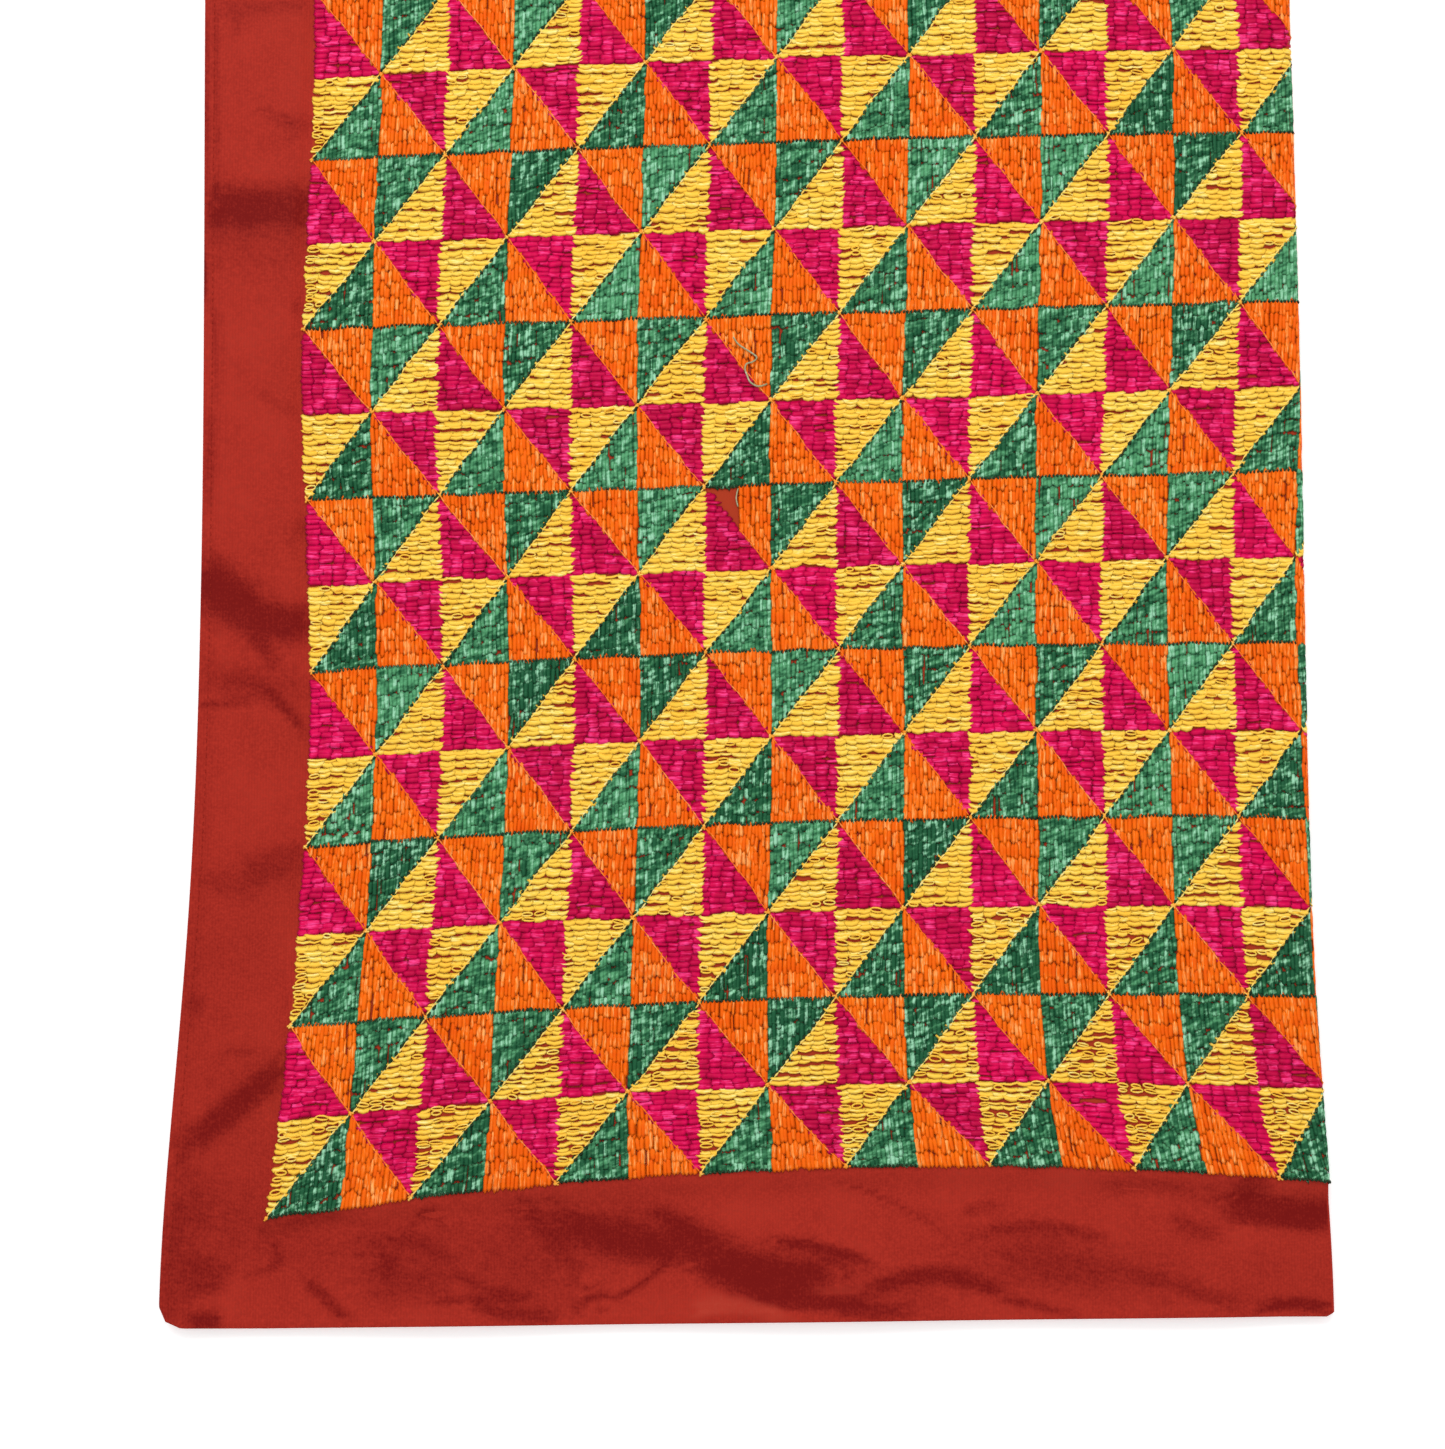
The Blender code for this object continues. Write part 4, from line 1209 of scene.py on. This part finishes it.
# %% The cloth's finish
def silk(name, mid, deep, bright, inside):
    f = Finish(name, roughness=0.5)
    f.shader.inputs["Specular IOR Level"].default_value = 0.06
    at = f.place()
    dark, light, share = f.split(f.node("ShaderNodeVertexColor", {"layer_name": "cloth"}))
    cloudy = f.noise(at, 26.0, 5.0, 0.62)
    mottle = f.noise(at, 240.0, 4.0, 0.65)
    streak = f.noise(f.streaks(-0.21, 0.0085, 0.0016), 1.0, 3.0, 0.6)
    grain = f.noise(at, 760.0, 2.0, 0.6)
    rib = f.node("ShaderNodeTexWave", {"wave_type": "BANDS", "bands_direction": "X"},
                 {"Vector": at, "Scale": 235.0, "Distortion": 0.8, "Detail": 1.0})
    # Painted shade: the creases' darkness, frayed by streaks and mottle, mixes the rust to the deep oxblood;
    # clouds, mottle, grain and rib vary the tone at random. Painted sheen: creases that catch the light mix it
    # to bright.
    near = (dark * 3.0).clamp()
    crease = (dark * 1.12 + (streak - 0.5) * 0.45 * near + (mottle - 0.5) * 0.20 * near).ramp(-0.10, 1.05)
    shade = (crease * 0.86 + (cloudy - 0.5) * 0.45 + (mottle - 0.5) * 0.30 + (grain - 0.5) * 1.1 + rib * 0.12
             + 0.10).clamp()
    shine = (light * 0.8 + (0.43 - cloudy) * 0.8 + (grain - 0.5) * 1.1 - dark * 0.5).clamp()
    colour = f.mix(shade, mid, deep)
    colour = f.mix(shine, colour, bright)
    colour = f.mix(share.ramp(0.97, 1.0), colour, inside)
    rough = 0.44 + cloudy * 0.12
    normal = f.bump(grain * 0.6 + rib * 0.5, 0.00012, 0.5)
    return f.feed(Base_Color=colour, Roughness=rough, Normal=normal)


# mid is the rust's own colour, deep the painted shade of the creases, bright their painted sheen, inside the
# ground among the floss.
RUST = dict(mid=rgb(173, 46, 33), deep=rgb(118, 16, 13), bright=rgb(184, 62, 46), inside=rgb(170, 56, 30))
ground.data.materials.append(silk("rust_silk", **RUST))
# The hidden leaves' edges lie in the shade between the top and the bottom leaf, so their silk is painted
# darker: painted shade.
leaves.data.materials.append(silk("rust_silk_inner_painted_shade", rgb(140, 34, 28), rgb(84, 15, 14), rgb(160, 48, 40),
                                  rgb(120, 30, 22)))


# %% [markdown]
# ## Silk floss
#
# Floss is untwisted silk. Its shine along the filaments is painted as highlight streaks, the shade at its
# edges, its seams and where it dives into the cloth is painted darker, and each stitch differs a little in tone
# and in painted highlight. The stitch's painted tone, its place along the stitch, a number of its own and its
# patch come in as the attribute that was stored on its points.

# %% The floss's finish
def silk_floss(name, dark, low, body, bright, level=True, seam=(0.0, 0.40), streak=1.0, each=0.4, patchy=0.4,
               size=0.004, turn=0.0, tips=0.0):
    """Floss: painted shade in the dark colour where its tone is under the
    seam's two limits. Above, it goes from low to body with the patch, a
    cloud and the stitch, and it takes the bright colour, a painted
    highlight, where the crest's tone, fibre, stitch and tip add up."""
    f = Finish(name, roughness=0.42)
    f.shader.inputs["Specular IOR Level"].default_value = 0.10
    stitch = f.node("ShaderNodeVertexColor", {"layer_name": "floss"})
    patch = f.node("ShaderNodeVertexColor", {"layer_name": "floss"}, out=1)
    one, along, tone = f.split(stitch)
    fibre = f.noise(f.place((220, 1700, 900) if level else (1700, 220, 900)), 1.0, 3.0, 0.65)
    cloud = f.noise(f.streaks(turn, 2.4 * size, size), 1.0, 2.0, 0.5)
    # Painted shade: a low tone, at a stitch's edges and seams, takes the dark colour. Painted highlight: lit,
    # from the crest's tone, the fibre streaks and green's tips, takes the bright colour.
    seams = (tone + (fibre - 0.5) * 0.40).ramp(*seam)
    tip = ((along - 0.5) * (along - 0.5) * 4).ramp(0.55, 1.0)
    field = (0.5 + (patch - 0.5) * patchy + (cloud - 0.5) * patchy * 4.0 + (one - 0.5) * each).ramp(0.0, 1.0)
    lit = (tone * 0.3 + (fibre - 0.5) * 1.8 * streak + (one - 0.5) * each * 1.2 + (cloud - 0.5) * patchy * 2.0
           + tip * tips * one).ramp(0.30, 0.80)
    colour = f.mix(field, low, body)
    colour = f.mix(lit, colour, bright)
    colour = f.mix(seams, dark, colour)
    return f.feed(Base_Color=colour, Roughness=0.34 + fibre * 0.2,
                  Normal=f.bump(fibre, 0.00015, 0.5))


# Each colour runs: the painted shade at a stitch's edges and seams, then low and body, the floss's own tones,
# then the painted highlight. The threads below take the same four.
FLOSS_COLOURS = {
    "yellow": (rgb(230, 132, 42), rgb(255, 192, 56), rgb(255, 218, 86), rgb(255, 242, 158)),
    "magenta": (rgb(156, 4, 44), rgb(184, 0, 62), rgb(226, 0, 84), rgb(252, 70, 144)),
    "orange": (rgb(204, 72, 8), rgb(238, 88, 0), rgb(255, 120, 12), rgb(255, 174, 98)),
    "green": (rgb(36, 48, 32), rgb(30, 88, 56), rgb(90, 164, 114), rgb(158, 216, 180)),
}
HABITS = {
    "yellow": dict(level=True, seam=(0.0, 0.32), streak=1.1, each=0.3, patchy=0.15),
    "magenta": dict(level=True, seam=(0.0, 0.55), streak=1.0, each=0.45, patchy=0.40, size=0.005, turn=1.4),
    "orange": dict(level=False, seam=(0.0, 0.42), streak=1.0, each=0.45, patchy=0.20, size=0.005),
    "green": dict(level=False, seam=(0.0, 0.45), streak=0.8, each=0.5, patchy=0.75, size=0.0022, turn=0.4,
                  tips=0.40),
}
finishes = {}
for colour, tones in FLOSS_COLOURS.items():
    finishes[colour] = silk_floss(f"floss_{colour}", *tones, **HABITS[colour])
for name, obj in flosses.items():
    obj.data.materials.append(finishes[name.split("_")[1]])
THREADS = {
    "thread_green": (outline_green, rgb(60, 52, 30), rgb(24, 44, 28), rgb(38, 66, 42), rgb(104, 150, 112)),
    "thread_orange": (outline_orange, rgb(230, 90, 20), rgb(250, 112, 24), rgb(255, 136, 48),
                      rgb(255, 170, 96)),
    "thread_pale": (outline_yellow, rgb(220, 160, 60), rgb(250, 204, 92), rgb(255, 222, 116),
                    rgb(255, 240, 170)),
    "thread_yellow": (star_knots, rgb(200, 100, 22), rgb(248, 150, 44), rgb(254, 190, 74),
                      rgb(255, 226, 130)),
    "thread_rust": (hem, rgb(140, 28, 20), rgb(160, 36, 26), rgb(170, 42, 32), rgb(184, 58, 46)),
    "thread_grey_green": (loose_thread, rgb(90, 84, 50), rgb(140, 140, 96), rgb(172, 172, 136),
                          rgb(214, 214, 190)),
}
for name, (obj, *tones) in THREADS.items():
    # Where the green thread is thin it takes the dark colour, painted shade between its dots.
    dotted = dict(seam=(0.45, 0.80), streak=0.5) if name == "thread_green" else {}
    obj.data.materials.append(silk_floss(name, *tones, **dotted))


# %% [markdown]
# ## Paint the underside
#
# In each half-cell the fractions of u and v say on which side of the diagonal a point lies, and whether column
# and row are odd says which way the diagonal runs. That is all the chart needs, as a handful of masks.

# %% The underside's finish
def painted_floss(name):
    f = Finish(name, roughness=0.45)
    u, v, _ = f.split(f.node("ShaderNodeVertexColor", {"layer_name": "pattern"}))
    fu, fv = u.fract(), v.fract()
    odd_i, odd_j = (u / 2).fract().above(0.5), (v / 2).fract().above(0.5)
    same = 1 - (odd_i - odd_j) * (odd_i - odd_j)
    over_rising = (fv - fu).above(0.0)
    over_falling = (fu + fv - 1).above(0.0)
    tones = {c: t[2] for c, t in FLOSS_COLOURS.items()}
    first = f.mix(over_rising, tones["green"], tones["yellow"])
    second = f.mix(over_rising, tones["yellow"], tones["green"])
    on_rising = f.mix(odd_i, first, second)
    first = f.mix(over_falling, tones["orange"], tones["magenta"])
    second = f.mix(over_falling, tones["magenta"], tones["orange"])
    on_falling = f.mix(odd_j, first, second)
    colour = f.mix(same, on_falling, on_rising)
    # Each painted stitch is darker towards its edges and corners: painted shade between the stitches.
    across = (u * 6.0 + 0.5 * (v * 16.0).fract().above(0.5)).fract()
    rows = (v * 16.0).fract()
    gap = 1 - ((rows - 0.5) * (rows - 0.5) * 3.2 + (across - 0.5) * (across - 0.5) * 1.6).clamp()
    fibre = f.noise(f.place((500, 1500, 900)), 1.0, 3.0, 0.6)
    value = gap * 0.75 + fibre * 0.45
    grey = f.node("ShaderNodeCombineColor", {}, {0: value, 1: value, 2: value})
    colour = f.mix(1.0, colour, grey, "MULTIPLY")
    return f.feed(Base_Color=colour, Normal=f.bump(gap + fibre * 0.3, 0.0004, 0.6))


under.data.materials.append(painted_floss("floss_pressed"))

# %% [markdown]
# ## Floor, light and camera
#
# The floor is plain and pale, and it glows a little, so that it stays white beside the shawl. The light is one
# large soft panel beyond the far end, so that each stitch has a soft shadow on its near side, with an even sky
# for fill. The camera looks down from the photograph's place: 1.6 m away, tilted by six degrees, with the near
# half of the shawl in view.

# %% The floor
half = 3.0
floor_mesh = bpy.data.meshes.new("floor")
floor_mesh.from_pydata([(-half, -half, -0.0002), (half, -half, -0.0002), (half, half, -0.0002),
                        (-half, half, -0.0002)], [], [(0, 1, 2, 3)])
floor = bpy.data.objects.new("floor", floor_mesh)
bpy.context.scene.collection.objects.link(floor)
plain = Finish("pale_floor", roughness=0.9)
plain.shader.inputs["Specular IOR Level"].default_value = 0.1
plain.shader.inputs["Emission Strength"].default_value = 0.32
plain.feed(Base_Color=plain.mix(plain.noise(plain.place(), 3.0), rgb(250, 250, 250), rgb(253, 253, 253)))
floor_mesh.materials.append(plain.material)

# %% The light
panel = bpy.data.lights.new("panel", "AREA")
panel.shape, panel.size, panel.size_y, panel.energy = "RECTANGLE", 2.6, 1.8, 43.0
panel_obj = bpy.data.objects.new("panel", panel)
panel_obj.location = (-0.35, 1.75, 2.10)
bpy.context.scene.collection.objects.link(panel_obj)
aim = mathutils.Vector((0.0, -0.25, 0.0)) - panel_obj.location
panel_obj.rotation_euler = aim.to_track_quat("-Z", "Y").to_euler()
world = bpy.data.worlds.new("sky")
bpy.context.scene.world = world
world.use_nodes = True
world.node_tree.nodes["Background"].inputs["Color"].default_value = (1.0, 1.0, 1.0, 1.0)
world.node_tree.nodes["Background"].inputs["Strength"].default_value = 0.785
bpy.context.scene.view_settings.view_transform = "Standard"

# %% The camera
camera_data = bpy.data.cameras.new("camera")
camera_data.sensor_width = 36.0
camera_data.lens = camera_data.sensor_width * FOCAL / 1449.0
camera = bpy.data.objects.new("camera", camera_data)
camera.location = (AIM[0], AIM[1] - DISTANCE * math.sin(TILT), DISTANCE * math.cos(TILT))
camera.rotation_euler = (TILT, 0.0, 0.0)
bpy.context.scene.collection.objects.link(camera)
bpy.context.scene.camera = camera
print("camera at", [round(c, 4) for c in camera.location], "lens", round(camera_data.lens, 2), "mm")
